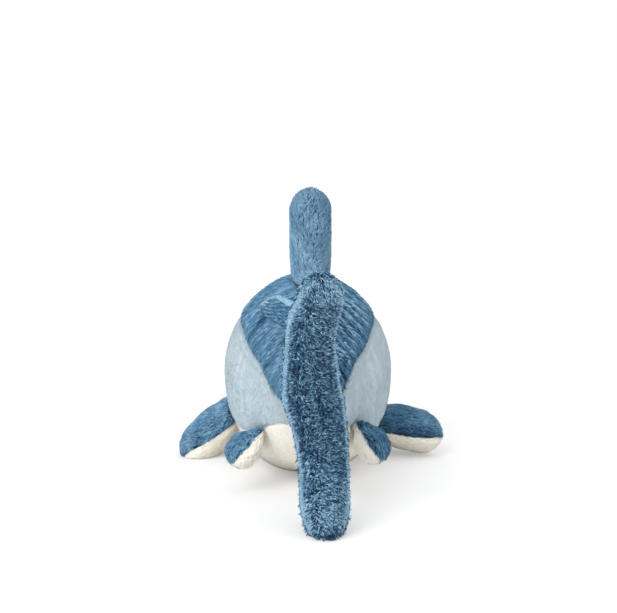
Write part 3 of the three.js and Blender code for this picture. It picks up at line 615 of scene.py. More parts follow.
def pile_on(
    panel, finish, length, density,
    spread=0.5, clump=4.0, width=1.0, seed=0, contrast=1.0, flat=False,
):
    """Grows fur on the outside of a panel, as real locks joined to its cloth.

    The tones of single locks differ by spread, and those of clumps by contrast.
    """
    sizes = bpy.context.scene.plush_sizes
    lock = bpy.data.objects.get("lock_of_fur") or lock_of_fur()
    tree = bpy.data.node_groups.new("Pile", "GeometryNodeTree")
    for way in ("INPUT", "OUTPUT"):
        tree.interface.new_socket("Geometry", in_out=way, socket_type="NodeSocketGeometry")
    board = Board(tree)
    add = board.add
    cloth = add("NodeGroupInput")
    spot = add("GeometryNodeInputPosition")
    seed = sizes.seed * 100 + seed
    clump_size = clump * MM

    def value(name, kind="FLOAT"):
        return add("GeometryNodeInputNamedAttribute", {"Name": name}, data_type=kind)

    def random(low, high, salt):
        kind = "FLOAT_VECTOR" if isinstance(low, tuple) else "FLOAT"
        inputs = {"Min": low, "Max": high, "Seed": seed + salt}
        return add("FunctionNodeRandomValue", inputs, data_type=kind)

    def cloud(size, output, shift):
        inputs = {"Vector": spot + shift, "Scale": 1 / (size * MM), "Detail": 1.0}
        return add("ShaderNodeTexNoise", inputs, output)

    def combined(*parts):
        return add("ShaderNodeCombineXYZ", dict(enumerate(parts)))

    def stored(geometry, name, amount, kind="FLOAT2", domain="CORNER"):
        inputs = {"Geometry": geometry, "Name": name, "Value": amount}
        return add("GeometryNodeStoreNamedAttribute", inputs, data_type=kind, domain=domain)

    def aligned(inputs, axis, pivot):
        return add("FunctionNodeAlignRotationToVector", inputs, axis=axis, pivot_axis=pivot)

    # The roots, only on the side of the cloth that faces out.
    normal = add("GeometryNodeInputNormal")
    facing = normal.sum("DOT_PRODUCT", normal, value("outward", "FLOAT_VECTOR"))
    outside = add("FunctionNodeCompare", {0: facing, 1: FACES_OUT}, operation="GREATER_THAN")
    thickness = value("thick") * (density / MM**2)
    roots = add(
        "GeometryNodeDistributePointsOnFaces",
        {"Mesh": cloth, "Selection": outside, "Density": thickness, "Seed": seed},
    )

    # Their lay: combed, with some wandering, and drawn together into clumps.
    frizz = value("frizz")
    cells = add("ShaderNodeTexVoronoi", {"Vector": spot, "Scale": 1 / clump_size})
    gather = (cells.out("Position") - spot) * (frizz * (GATHER / clump_size))
    stray = random((-1, -1, -1), (1, 1, 1), 1) * (frizz * STRAY)
    wander = (cloud(clump, "Color", 0.0) - 0.5) * (frizz * WANDER) + stray
    lay = value("comb", "FLOAT_VECTOR") + wander + gather
    upright = aligned({"Vector": roots.out("Normal")}, "Z", "AUTO")
    combed = aligned({"Rotation": upright, "Vector": lay}, "Y", "Z")
    tilt = random((-0.2, -0.7, -0.1), (0.2, 0.7, 0.1), 2)
    roll = add("FunctionNodeEulerToRotation", {0: tilt * (frizz * 5.0).within(0.15, 1.0)})
    rolled = add(
        "FunctionNodeRotateRotation", {"Rotation": combed, "Rotate By": roll},
        rotation_space="LOCAL",
    )

    # Their size and tone.
    own = random(0.7, 1.2, 3) * value("pile") * length
    rise = own * value("lift") * random(0.75, 1.3, 4)
    wide = random(0.75, 1.3, 5) * (sizes.strand_width * width)
    tone = (
        value("shade")
        + random(-0.5, 0.5, 6) * spread
        + (cloud(clump * 1.2, "Fac", 0.37) - 0.5) * (frizz * contrast)
        + (0.42 - cells) * (frizz * (0.8 * contrast))
    ).within(*TONES)
    fur = add(
        "GeometryNodeInstanceOnPoints",
        {
            "Points": stored(roots, "tone", tone, "FLOAT", "POINT"),
            "Instance": add("GeometryNodeObjectInfo", {"Object": lock}, "Geometry"),
            "Rotation": rolled, "Scale": combined(wide, own, rise),
        },
    )
    fur = add("GeometryNodeRealizeInstances", {"Geometry": fur})
    fur = add("GeometryNodeSetShadeSmooth", {"Geometry": fur, "Shade Smooth": not flat})

    # The place of each point in OFBake: its tone across and its height up.
    fur_place = combined(value("tone") + value("side") * 0.012, value("height") * 0.92 + 0.06)
    fur = stored(fur, "OFBake", fur_place)
    cloth_tone = (value("shade") + cloud(5, "Fac", 1.7) * 0.06).within(*TONES)
    backing = stored(cloth, "OFBake", combined(cloth_tone, cloud(3, "Fac", 2.9) * 0.05))
    joined = add("GeometryNodeJoinGeometry", {"Geometry": backing})
    tree.links.new(fur.socket, joined.node.inputs[0])
    above_floor = spot.sum("MAXIMUM", spot, (-9.0, -9.0, FLOOR_GAP))
    set_down = add("GeometryNodeSetPosition", {"Geometry": joined, "Position": above_floor})
    dyed = add("GeometryNodeSetMaterial", {"Geometry": set_down, "Material": finish})
    board.end("NodeGroupOutput", dyed)
    panel.modifiers.new("Pile", "NODES").node_group = tree
    apply_modifiers(panel)
    bpy.data.node_groups.remove(tree)
    mesh = panel.data
    for name in ("outward", "comb", *FUR_VALUES, "tone", "height", "side"):
        attribute = mesh.attributes.get(name)
        if attribute:
            mesh.attributes.remove(attribute)
    mesh.uv_layers.remove(mesh.uv_layers["UVMap"])
    mesh.uv_layers["OFBake"].active_render = True


def plush_finish(name, root, dark, middle, light):
    """Fur coloured from the root to the tip of each lock, and from dark locks to light ones."""
    known = bpy.data.materials.get(name)
    if known:
        return known
    finish = bpy.data.materials.new(name)
    board = blank_board(finish)
    place = board.add("ShaderNodeUVMap", uv_map="OFBake")
    tips = board.add("ShaderNodeValToRGB", {0: place.part(0)})
    stops = tips.node.color_ramp.elements
    stops.new(0.5)
    for stop, shade in zip(stops, (dark, middle, light)):
        stop.color = (*shade, 1)
    rise = board.add(
        "ShaderNodeMapRange", {"Value": place.part(1), "From Min": 0.02, "From Max": 0.62},
        interpolation_type="SMOOTHSTEP",
    )
    shader = board.add(
        "ShaderNodeBsdfPrincipled",
        {
            "Base Color": board.blend_colours(rise, (*root, 1), tips), "Roughness": 0.88,
            "Specular IOR Level": 0.12, "Sheen Weight": 0.08, "Sheen Roughness": 0.5,
        },
    )
    board.end("ShaderNodeOutputMaterial", shader)
    return finish


def noise_finish(name, first, second, size, roughness, bump=0.0, **fixed):
    """A finish whose colour and grain follow fine noise."""
    known = bpy.data.materials.get(name)
    if known:
        return known
    finish = bpy.data.materials.new(name)
    board = blank_board(finish)
    place = board.add("ShaderNodeTexCoord", output="Object")
    inputs = {"Vector": place, "Scale": 1 / (size * MM), "Detail": 3.0}
    grain = board.add("ShaderNodeTexNoise", inputs, "Fac")
    colour = board.blend_colours(grain, (*first, 1), (*second, 1))
    inputs = {"Base Color": colour, "Roughness": grain * 0.1 + (roughness - 0.05), **fixed}
    if bump:
        inputs["Normal"] = board.add(
            "ShaderNodeBump", {"Strength": 0.6, "Distance": bump * MM, "Height": grain}
        )
    board.end("ShaderNodeOutputMaterial", board.add("ShaderNodeBsdfPrincipled", inputs))
    return finish


def mixed(first, second, share):
    return tuple(a + (b - a) * share for a, b in zip(first, second))


def blue_fur(name="blue_fur", greying=0.0):
    # Every shade is mixed towards grey by the share given.
    colours = bpy.context.scene.plush_colours
    shades = (colours.blue_root, colours.blue_dark, colours.blue, colours.blue_light)
    return plush_finish(name, *(mixed(shade, (0.24, 0.25, 0.26), greying) for shade in shades))


def soft_fur(key, shadow):
    """Fur of one of the two light colours, with a shadow of its own at the roots."""
    tips = tuple(getattr(bpy.context.scene.plush_colours, key))
    painted_shade, dark = mixed(tips, shadow, 0.16), mixed(tips, shadow, 0.34)
    return plush_finish(key + "_fur", painted_shade, dark, tips, mixed(tips, (1, 1, 1), 0.45))


FURS = {
    "blue_plush": blue_fur,
    "pale_blue_plush": partial(soft_fur, "pale", (0.2, 0.3, 0.38)),
    "cream_plush": partial(soft_fur, "cream", (0.34, 0.27, 0.17)),
}


def finish_panel(panel, body, slot, node, root=None, reach=None):
    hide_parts(node)
    if root is None:
        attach(panel, body)
    else:
        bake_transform(panel)
        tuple(root)
        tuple(reach)


def furred(
    name, node, slot, grid, place, dress, setting, density,
    body="body", hold=(), fur=None, **how,
):
    """A panel of cloth with its fur, in place of its node.

    With hold given, the panel is not attached to its body and its place is baked into its mesh; the
    two places in hold are not used.
    """
    panel = cloth_panel(name, *grid, place, dress)
    length = getattr(bpy.context.scene.plush_sizes, setting)
    pile_on(panel, fur or FURS[slot](), length, density, **how)
    finish_panel(panel, body, slot, node, *hold)


def filling(name, node, grid, place, body="body", hold=()):
    """The loose fibre inside a part of the fish, a little uneven."""

    def lumpy(u, v):
        turn = v * math.tau
        lumps = LUMP_DEPTH * ripple(place(u, turn, FILLING_INSET), LUMP_SIZE, 70)
        return place(u, turn, FILLING_INSET + lumps)

    fibre = noise_finish("loose_fibre", (0.7, 0.69, 0.65), (0.86, 0.85, 0.82), 1.2, 0.95, 0.4)
    piece = closed_skin(name, *grid, lumpy, fibre)
    finish_panel(piece, body, "fibre_filling", node, *hold)


def seam_turns(side, part, along):
    """The turns at the two edges of a body panel."""
    share = np.clip(along, 0, 1)
    upper = turn_at(upper_seam(share))
    lower = turn_at(lower_seam(share))
    if part == "back":
        return upper, math.pi - upper
    if part == "side":
        return (lower, upper) if side == RIGHT else (math.pi - lower, math.pi - upper)
    return lower, -math.pi - lower


def body_place(part, side=0, ends=ROUND_BOTH_ENDS):
    """Where a panel of the body lies, between its seams and round its ends."""

    def place(u, v, inset):
        along = np.interp(u, [0, 0.07, 0.94, 1], ends)
        first, last = seam_turns(side, part, along)
        return body_skin(along, first + (last - first) * v, inset)

    return place


def joint(body):
    return next(found for found in frame["joints"] if found["child"] == body)


def on_body(along, turn):
    """A place on the body's skin: X along the fish, Y across and Z outwards, in millimetres."""
    turns = np.array([turn, turn, turn + TINY])
    points = body_skin(np.array([along, along + TINY, along]), turns, 0)
    way = Vector(points[1] - points[0]).normalized()
    out = way.cross(Vector(points[2] - points[0])).normalized()
    if out.x * points[0][0] < 0:
        out = -out
    turned = Matrix((way, out.cross(way), out)).transposed().to_4x4()
    return Matrix.Translation(Vector(points[0])) @ turned


def side_turn(side, level):
    turn = float(turn_at(np.array([level]))[0])
    return turn if side == RIGHT else math.pi - turn


def eye_seat(side):
    return on_body(EYE_SHARE, side_turn(side, EYE_LEVEL))


def mouth_line(side):
    """The corner of the mouth, as places on one cheek from the snout back."""
    return [
        on_body(0.985 - 0.1 * t, side_turn(side, -0.2 + 0.16 * t * t)) for t in np.linspace(0, 1, 9)
    ]


def back_lay(u, v, points):
    y = points[:, 1]
    right = step_up(0.5 - v, -0.06, 0.1)
    drawn = y + 7 * np.sin(v * 9) + 2.5 * ripple(points, 60, 1)
    row = np.cos(drawn * math.tau / RIDGE_PITCH)
    rear = right * step_up(-y, -50, 0) * step_up(v, 0.03, 0.12)
    # The ridges are painted lighter and the furrows darker, as light on the raised welts and shade
    # between them.
    ridge = step_up(row, 0.5, 0.95) * rear
    furrow = step_up(-row, 0.0, 0.9) * rear
    band = np.sin(drawn * math.tau / BAND_PITCH + 1.5 * ripple(points, 40, 2)) * (1 - right)
    # Painted highlight: the left of the back, towards the light, is lighter in its middle.
    painted_sheen = hump(v, 0.66, 0.14) * hump(y, -60, 60)
    # Painted shade: a dark line across the left of the back, just forward of the rear dorsal fin.
    painted_shade_line = hump(y, -46, 8) * step_up(-points[:, 0], 2, 12) * step_up(points[:, 0], -42, -32)
    rough = right * step_up(-y, 75, 115) * step_up(0.3 - v, 0, 0.15)
    return dict(
        inset=1.9 - 0.9 * ridge + 0.5 * furrow,
        along=-0.3 - 0.3 * rough + 0.2 * ridge - 0.9 * hump(v, 0.5, 0.05),
        across=np.tanh((v - 0.5) * 7),
        pile=1 + 0.25 * (1 - right) - 0.5 * hump(v, 0, 0.05) - 0.5 * hump(v, 1, 0.05),
        lift=0.2 + 0.22 * ridge + 0.2 * rough,
        frizz=0.08 + 0.06 * right + 0.35 * rough,
        shade=0.49 - 0.08 * right + 0.34 * ridge - 0.18 * furrow + 0.1 * band + 0.1 * painted_sheen
        - 0.2 * rough - 0.22 * painted_shade_line + 0.05 * ripple(points, 50, 3),
        width=110,
    )


def body_inside(u, turn, inset):
    """The body's filling, which leaves room for the eyes' washers."""
    along = np.interp(u, [0, 0.08, 0.93, 1], [-1, 0, 1, 2])
    skin = body_skin(along, turn, 0)
    for side in (LEFT, RIGHT):
        off = np.linalg.norm(skin - np.array(eye_seat(side).translation), axis=1)
        inset = inset + WASHER_ROOM[0] * hump(off, 0, WASHER_ROOM[1])
    return body_skin(along, turn, inset)


class PLUSH_OT_back(bpy.types.Operator):
    """Makes the blue back panel with its long, combed fur, and the filling of the body"""

    bl_idname = "plush.back"
    bl_label = "Back and filling"

    def execute(self, context):
        furred(
            "back", "back_panel", "blue_plush", (110, 60), body_place("back"), back_lay,
            "pile_back", 0.81, clump=3.0, seed=1,
        )
        filling("body_filling", "body_stuffing", (64, 48), body_inside)
        return {"FINISHED"}


def side_lay(mouth, u, v, points):
    drawn = points * np.array([0, 1, 0.12])
    patches = 0.6 + 0.4 * ripple(points, 30, 4)
    streak = 0.6 * np.tanh(ripple(drawn, 6, 5)) * patches + 0.4 * ripple(drawn, 19, 7)
    near = sum(hump(np.linalg.norm(points - place, axis=1), 0, 2.2) for place in mouth)
    near = np.minimum(near, 1)
    return dict(
        inset=1.4 + 0.6 * near, along=-0.2, across=-1.0, lift=0.05, frizz=0.015, width=80,
        pile=1 - 0.3 * hump(v, 1, 0.08) - 0.3 * hump(v, 0, 0.08) - 0.5 * near,
        shade=0.54 + 0.12 * np.clip(streak, -1.2, 1.2) + 0.05 * ripple(points, 40, 6),
    )


class PLUSH_OT_sides(bpy.types.Operator):
    """Makes the two pale side panels with short, smooth fur"""

    bl_idname = "plush.sides"
    bl_label = "Sides"

    def execute(self, context):
        for side, word in SIDES:
            mouth = [np.array(place.translation) for place in mouth_line(side)]
            furred(
                "side_" + word, "side_panel_" + word, "pale_blue_plush", (100, 30),
                body_place("side", side), partial(side_lay, mouth),
                "pile_side", 1.4, spread=0.12, clump=9.0, seed=5 + side, flat=True,
            )
        return {"FINISHED"}


def belly_lay(u, v, points):
    return dict(
        inset=1.4, along=-1.0, across=0.0, lift=0.06, frizz=0.02, thick=0.9, width=100,
        # Painted shade: the belly is darker below 30 mm, most within 4 mm of the floor.
        shade=0.66 + 0.08 * ripple(points, 26, 8) - 0.5 * step_up(-points[:, 2], -30, -4),
    )


class PLUSH_OT_belly(bpy.types.Operator):
    """Makes the cream belly panel, flat where it rests"""

    bl_idname = "plush.belly"
    bl_label = "Belly"

    def execute(self, context):
        furred(
            "belly", "belly_panel", "cream_plush", (90, 44),
            body_place("belly", ends=(0.055, 0.12, 1, 1.85)), belly_lay,
            "pile_side", 0.92, spread=0.12, clump=9.0, seed=9, contrast=0.45, flat=True,
        )
        return {"FINISHED"}


def bill_lay(u, v, points):
    return dict(
        inset=1.2, along=1.0, across=0.0, pile=1 - 0.45 * u, lift=0.2, frizz=0.1,
        shade=0.5 + 0.1 * ripple(points, 22, 10), seam=0.7, width=40,
    )


def bill_inside(u, turn, inset):
    """The bill's filling, which starts in front of the snout."""
    shut = 0.05
    share = np.interp(u, [0, shut, 1], [0.03, 0.03, 1])
    points = bill_skin(np.sin(QUARTER * share), turn, inset)
    drawn = np.clip(u / shut, 0, 1)
    points[:, 0] *= drawn
    low = points[:, 2] - snout_level()
    points[:, 2] = np.where(u < shut, snout_level() + low * drawn, points[:, 2])
    wide, tall = SNOUT_HALF
    off = np.hypot(points[:, 0] / wide, (points[:, 2] - snout_level()) / tall)
    dome = BODY_LENGTH - REST_TO_TAIL + SNOUT_DOME * np.sqrt(np.maximum(0, 1 - off**2))
    points[:, 1] = np.maximum(points[:, 1], dome + 0.5)
    return points


class PLUSH_OT_bill(bpy.types.Operator):
    """Makes the two panels of the bill and its filling"""

    bl_idname = "plush.bill"
    bl_label = "Bill"

    def execute(self, context):
        for word, start, slot in (("top", 0.0, "blue_plush"), ("under", -math.pi, "cream_plush")):

            def place(u, v, inset):
                return bill_skin(np.sin(QUARTER * (0.03 + 0.97 * u)), start + math.pi * v, inset)

            furred(
                "bill_" + word, "bill_" + word + "_panel", slot, (44, 18), place, bill_lay,
                "pile_side", 1.4, spread=0.4, seed=12, width=0.9,
            )
        filling("bill_filling", "bill_stuffing", (40, 24), bill_inside)
        return {"FINISHED"}


def tail_crease(turn, z):
    """Where the tail fin's rear seam stands open, on its lower lobe."""
    off = (turn + QUARTER - 0.25 - 0.04 * np.sin(z / 2.5) + math.pi) % math.tau - math.pi
    return hump(off, 0, 0.1) * hump(z, 84, 17)


def creased_tail(u, turn, inset):
    share = np.sin(QUARTER * (2 * u - 1))
    depth = 2.4 * tail_crease(turn, TAIL_MIDDLE_Z + TAIL_HALF_HEIGHT * share)
    return tail_skin(share, turn, inset + depth)


def tail_lay(side, u, v, points):
    x, y, z = points.T
    high = 2 * u - 1
    top = step_up(high, 0.62, 0.88)
    ends = step_up(np.abs(high), 0.86, 1)
    middle = hump(v, 0, 0.17)
    if side == RIGHT:
        lit_rim = step_up(v, 0.31, 0.39)
        smooth = hump(v, 0.42, 0.16)
        specked = hump(v, 0.24, 0.12) * step_up(-z, -112, -96)
        parted = 0.1 * hump(z, 84, 26)
    else:
        lit_rim = step_up(v, 0.25, 0.33)
        smooth = 0 * v
        specked = hump(v, 0.22, 0.1)
        parted = 0.2
    # Painted light: the rim bands along the side edges and the top are lighter, as rim light; their
    # fur also lies lower and smoother.
    lit_rim = np.maximum(lit_rim, 0.4 * step_up(high, 0.88, 0.95)) * step_up(-v, -0.58, -0.47)
    # The crease is also painted darker, as the shade inside it.
    crease = tail_crease(-QUARTER + side * math.pi * v, z)
    # A small lighter patch near the top of the upper lobe.
    light_patch = hump(np.hypot(x - 10.5, z - 167), 0, 5) * (y < -200)
    along = -0.2 - 0.5 * smooth - 0.5 * hump(z, 20, 22) + 0.4 * ripple(points, 20, 20)
    across = np.tanh((v - parted) * 12 + 0.3) + 0.3 * middle * ripple(points, 9, 22)
    bushy = (1 - 0.5 * smooth) * (1 - 0.5 * middle) * (1 - 0.85 * lit_rim)
    bushy = bushy * (1 - 0.6 * ends) * (1 - 0.7 * top)
    pile = (1 - 0.3 * bushy - 0.25 * lit_rim) * (1 - 0.3 * ends)
    return dict(
        inset=2.0 - 0.6 * lit_rim,
        along=along * (1 - 0.6 * middle),
        across=across * (1 - top),
        over=1.8 * top,
        over_way=(0.3, -0.8, -1),
        pile=pile * (1 - 0.15 * top) * (1 - 0.55 * crease),
        lift=0.3 + 1.1 * bushy,
        frizz=0.1 + 0.6 * bushy,
        shade=0.37 + 0.1 * smooth + 0.6 * lit_rim - 0.7 * crease + 0.4 * light_patch - 0.1 * specked
        + 0.1 * step_up(z, 120, 150) * (1 - top) + 0.28 * step_up(-z, -50, -14)
        # Painted shade: darker within 8 mm of the floor.
        - 0.5 * step_up(-z, -8, -2) + 0.08 * ripple(points, 24, 21),
        seam=0.5,
        width=60,
    )


class PLUSH_OT_tail_fin(bpy.types.Operator):
    """Makes the bushy tail fin on the stem's round end, with its filling"""

    bl_idname = "plush.tail_fin"
    bl_label = "Tail fin"

    def execute(self, context):
        _, y, z = joint("tail_fin")["pos_m"]
        hold = ((0, y - 0.008, z), (0, y - 0.036, z))
        for side, word in SIDES:

            def place(u, v, inset):
                return creased_tail(u, -QUARTER + side * math.pi * v, inset)

            furred(
                "tail_" + word, "tail_panel_" + word, "blue_plush", (84, 48),
                place, partial(tail_lay, side), "pile_tail", 3.05, "tail_fin", hold,
                spread=1.3, clump=1.1, seed=20 + side, width=0.66, contrast=1.5,
            )
        filling("tail_filling", "tail_stuffing", (60, 24), creased_tail, "tail_fin", hold)
        return {"FINISHED"}


def dorsal_lay(side, u, v, points):
    # Painted light: the middle of each side, at the fin's outline, is lighter, as rim light, and
    # its fur is less frizzy.
    lit_rim = hump(v, 0.5, 0.12)
    crown = step_up(u, 0.6, 0.85)
    foot = 1 - step_up(u, 0.1, 0.6)
    return dict(
        inset=1.6,
        along=(0.75 + 0.45 * ripple(points, 22, 31)) * (1 - crown),
        across=0.6 * side * ripple(points, 24, 32) * (1 - crown),
        over=2 * crown,
        over_way=(0.2, 1, 0.9),
        pile=1 - 0.25 * crown,
        lift=0.24,
        frizz=0.2 - 0.1 * lit_rim,
        shade=0.54 + 0.12 * lit_rim + 0.1 * foot + 0.08 * ripple(points, 18, 33),
        thick=step_up(u, -0.02, 0.03),
        seam=0.2,
        width=70,
    )


class PLUSH_OT_dorsal_fin(bpy.types.Operator):
    """Makes the tall dorsal fin that stands on the back, with its filling"""

    bl_idname = "plush.dorsal_fin"
    bl_label = "Dorsal fin"

    def execute(self, context):
        pivot = Vector(joint("dorsal_fin")["pos_m"])
        where = stand(pivot, (0, 0, 1), (0, 1, 0))
        hold = (pivot - Vector((0, 0, 0.002)), pivot + Vector((0, 0, 0.016)))

        def inside(u, turn, inset):
            reach = np.interp(u, [0, 0.06, 0.16, 1], [-2, -1, 0, 1])
            return off_body(moved(fin_skin(DORSAL, reach, turn, inset), where), inset - 1)

        for side, word in SIDES:

            def place(u, v, inset):
                return inside(0.06 + 0.94 * u, math.pi + side * math.pi * v, inset)

            furred(
                "dorsal_" + word, "dorsal_panel_" + word, "blue_plush", (44, 30),
                place, partial(dorsal_lay, side), "pile_fin", 3.4,
                "dorsal_fin", hold, blue_fur("dusty_fur", 0.14),
                spread=0.35, clump=3.0, seed=30 + side, width=0.9,
            )
        filling("dorsal_filling", "dorsal_stuffing", (36, 24), inside, "dorsal_fin", hold)
        return {"FINISHED"}


def hinged_fin(
    name, words, nodes, slots, size, outward, body, dress, density, seed, grid, drops=(0, 0)
):
    """The two panels and the filling of a fin that turns on its seam.

    drops are the degrees by which its rear seam lies low at the root and at the tip.
    """
    found = joint(body)
    seat = Vector(found["pos_m"])
    forward = Vector(found["axis"])
    where = stand(seat, outward, forward if forward.y > 0 else -forward)
    out = where.to_3x3().col[0]
    hold = (seat - out * HINGE_HOLD[0], seat + out * HINGE_HOLD[1])
    first = 1 if out.x > 0 else -1

    def inside(u, turn, inset):
        reach = np.interp(u, [0, 0.16, 1], [-1, 0, 1])
        points = off_body(moved(fin_skin(size, reach, turn, inset), where), inset - ROOT_SUNK)
        points[:, 2] = np.maximum(points[:, 2], inset)
        return points

    for word, half, node, slot in zip(words, (first, -first), nodes, slots):

        def place(u, v, inset):
            drop = first * math.radians(1) * (drops[0] + (drops[1] - drops[0]) * u) * (1 - v)
            return inside(u, math.pi - half * math.pi * v + drop, inset)

        def dressed(u, v, points):
            return dict(dress(u, v, points, half == first), thick=step_up(u, 0.01, 0.06))

        short = slot == "cream_plush"
        furred(
            name + "_" + word, node, slot, grid, place, dressed, "pile_fin", density, body, hold,
            clump=3.0, seed=seed + half, contrast=0.6 if short else 1.0, flat=short,
        )
    filling(name + "_filling", nodes[2], grid, inside, body, hold)


def paired_fins(kind, words, size, droops, lay, density, seed, grid, drops=NO_DROPS):
    """The left and the right fin of a pair that is blue outside and cream inside."""
    for side, word in SIDES:
        droop = math.radians(droops[word])
        fin = kind + "_" + word
        hinged_fin(
            fin, words, [fin + "_" + part for part in (*(w + "_panel" for w in words), "stuffing")],
            ("blue_plush", "cream_plush"), size, (side * math.cos(droop), 0, -math.sin(droop)),
            kind + "_fin_" + word, partial(lay, side), density, seed + 3 * side, grid, drops[word],
        )


def rear_dorsal_lay(u, v, points, upper):
    # Painted light and shade: the tip and a band of the upper face are lighter, as rim light; the
    # root and the lower panel are darker, as shade; raised rows are lighter and the hollows between
    # them darker.
    flap = step_up(v, 0.33, 0.4) * step_up(-v, -0.7, -0.5) * upper
    lit_rim = np.maximum(0.9 * step_up(u, 0.8, 0.88), flap)
    rows = np.sin(points[:, 2] * math.tau / ROW_PITCH + 0.9 * ripple(points, 14, 41))
    rows = rows * step_up(-v, -0.5, -0.3)
    foot = 1 - step_up(u, 0.1, 0.5)
    under = step_up(v, 0.2, 0.4) * (not upper)
    return dict(
        inset=1.6 - 0.35 * rows, along=1.0, across=-0.2 if upper else 0.2,
        pile=0.7, lift=0.14, frizz=0.08,
        shade=0.36 + 0.22 * rows + 0.7 * lit_rim - 0.12 * foot - 0.3 * under, seam=0.5, width=30,
    )


class PLUSH_OT_rear_dorsal_fin(bpy.types.Operator):
    """Makes the small rear dorsal fin, flopped over to the left"""

    bl_idname = "plush.rear_dorsal_fin"
    bl_label = "Rear dorsal fin"

    def execute(self, context):
        flop = math.radians(REAR_DORSAL_FLOP)
        hinged_fin(
            "rear_dorsal", ("left", "right"),
            ("rear_dorsal_panel_left", "rear_dorsal_panel_right", "rear_dorsal_stuffing"),
            ("blue_plush", "blue_plush"), REAR_DORSAL, (-math.sin(flop), 0, math.cos(flop)),
            "rear_dorsal_fin", rear_dorsal_lay, 2.8, 40, (40, 36),
        )
        return {"FINISHED"}


def pectoral_lay(side, u, v, points, upper):
    low = 1 - step_up(v, 0, 0.3)
    root = 1 - step_up(u, 0.2, 0.8)
    # Painted shade: both fins are darker along their lower edge, and the right one, away from the
    # light, more so and towards its root too.
    painted_shade = 0.16 * root + 0.42 * low if side == RIGHT else 0.16 * low
    if upper:
        lay = dict(inset=1.6, pile=0.9, lift=0.22, frizz=0.12)
        lay["shade"] = 0.56 - painted_shade + 0.1 * ripple(points, 15, 52)
    else:
        # Painted shade: the cream underside is darker, as the shade under the fin.
        lay = dict(inset=1.4, pile=0.75, lift=0.12, frizz=0.06)
        lay["shade"] = 0.34 + 0.08 * ripple(points, 15, 53)
    across = 0.25 * (v - 0.5) + 0.12 * ripple(points, 20, 51)
    return dict(lay, along=1.0, across=across, width=50)


class PLUSH_OT_pectoral_fins(bpy.types.Operator):
    """Makes the two side fins behind the head, blue above and cream below"""

    bl_idname = "plush.pectoral_fins"
    bl_label = "Pectoral fins"

    def execute(self, context):
        paired_fins(
            "pectoral", ("top", "under"), PECTORAL, PECTORAL_DROOP, pectoral_lay,
            2.0, 50, (36, 26), PECTORAL_DROPS,
        )
        return {"FINISHED"}


def pelvic_lay(side, u, v, points, upper):
    if upper:
        lay = dict(inset=1.5, pile=0.9, lift=0.3, frizz=0.18)
        # Painted shade: the right fin's blue is darker, on the side away from the light.
        blue = 0.54 - (0.16 if side == RIGHT else 0.0)
        lay["shade"] = blue + 0.1 * ripple(points, 12, 62)
    else:
        lay = dict(inset=1.2, pile=0.8, lift=0.22, frizz=0.1)
        lay["shade"] = 0.66 + 0.08 * ripple(points, 12, 63)
    return dict(lay, along=1.0, across=0.2 * ripple(points, 14, 61), width=30)


class PLUSH_OT_pelvic_fins(bpy.types.Operator):
    """Makes the two small fins under the body, blue outside and cream inside"""

    bl_idname = "plush.pelvic_fins"
    bl_label = "Pelvic fins"

    def execute(self, context):
        paired_fins(
            "pelvic", ("outer", "inner"), PELVIC, PELVIC_DROOP, pelvic_lay, 2.3, 60, (26, 20)
        )
        return {"FINISHED"}


def turned_piece(name, profile, where, finish, columns=32):
    """A round piece about the Z axis of a place, from (radius, height) pairs in millimetres."""
    count = len(profile)
    radii, heights = zip(*profile)

    def place(u, v):
        at = u * (count - 1)
        radius = np.interp(at, range(count), radii)
        turn = v * math.tau
        rise = np.interp(at, range(count), heights)
        return moved(np.stack([radius * np.cos(turn), radius * np.sin(turn), rise], axis=1), where)

    return closed_skin(name, count - 1, columns, place, finish)


def eye_profile():
    """An eye's ridged stem, its back on the cloth in the pile, and its dome."""
    stem = [(0, -9), (1.3, -9), (STEM_RADIUS, -8.2)]
    for step in range(5):
        stem += [(STEM_RADIUS, -7.9 + step), (1.55, -7.7 + step), (STEM_RADIUS, -7.3 + step)]
    back = [(STEM_RADIUS, -0.9), (EYE_RADIUS - 0.4, -0.9), (EYE_RADIUS, -0.6)]
    angles = np.linspace(0.12, 1, 9) * QUARTER
    dome = [(EYE_RADIUS * math.cos(a), 0.3 + EYE_DOME * math.sin(a)) for a in angles]
    return stem + back + dome


def washer_profile():
    wide, top = WASHER_RADIUS, WASHER_TOP
    ring = [(2.1, top - 1.6), (wide - 0.3, top - 1.6), (wide, top - 1.3), (wide, top - 0.3)]
    ring += [(wide - 0.3, top), (3.4, top), (3.2, top + 0.3), (2.2, top + 0.3)]
    return ring + [(2.1, top + 0.2), (2.1, top - 1.6)]


def stitched_line(name, places, thread):
    """Stitches from each place to the next, joined into one piece."""
    capsule = [(0, -1.9), (0.35, -1.8), (0.5, -1.4), (0.5, 1.4), (0.35, 1.8), (0, 1.9)]
    model = turned_piece(name, capsule, Matrix.Rotation(QUARTER, 4, "Y"), thread, 10)
    stitches = []
    for before, after in zip(places, places[1:]):
        out = before.to_3x3().col[2]
        way = (after.translation - before.translation).normalized()
        turned = Matrix((way, out.cross(way), way.cross(out.cross(way)))).transposed().to_4x4()
        middle = (before.translation + after.translation) / 2
        stitch = model.copy()
        stitch.data = model.data.copy()
        stitch.data.transform(Matrix.Translation(middle * MM) @ turned)
        bpy.context.scene.collection.objects.link(stitch)
        stitches.append(stitch)
    bpy.data.objects.remove(model)
    only(stitches[0])
    for stitch in stitches:
        stitch.select_set(True)
    bpy.ops.object.join()
    stitches[0].name = name
    return stitches[0]


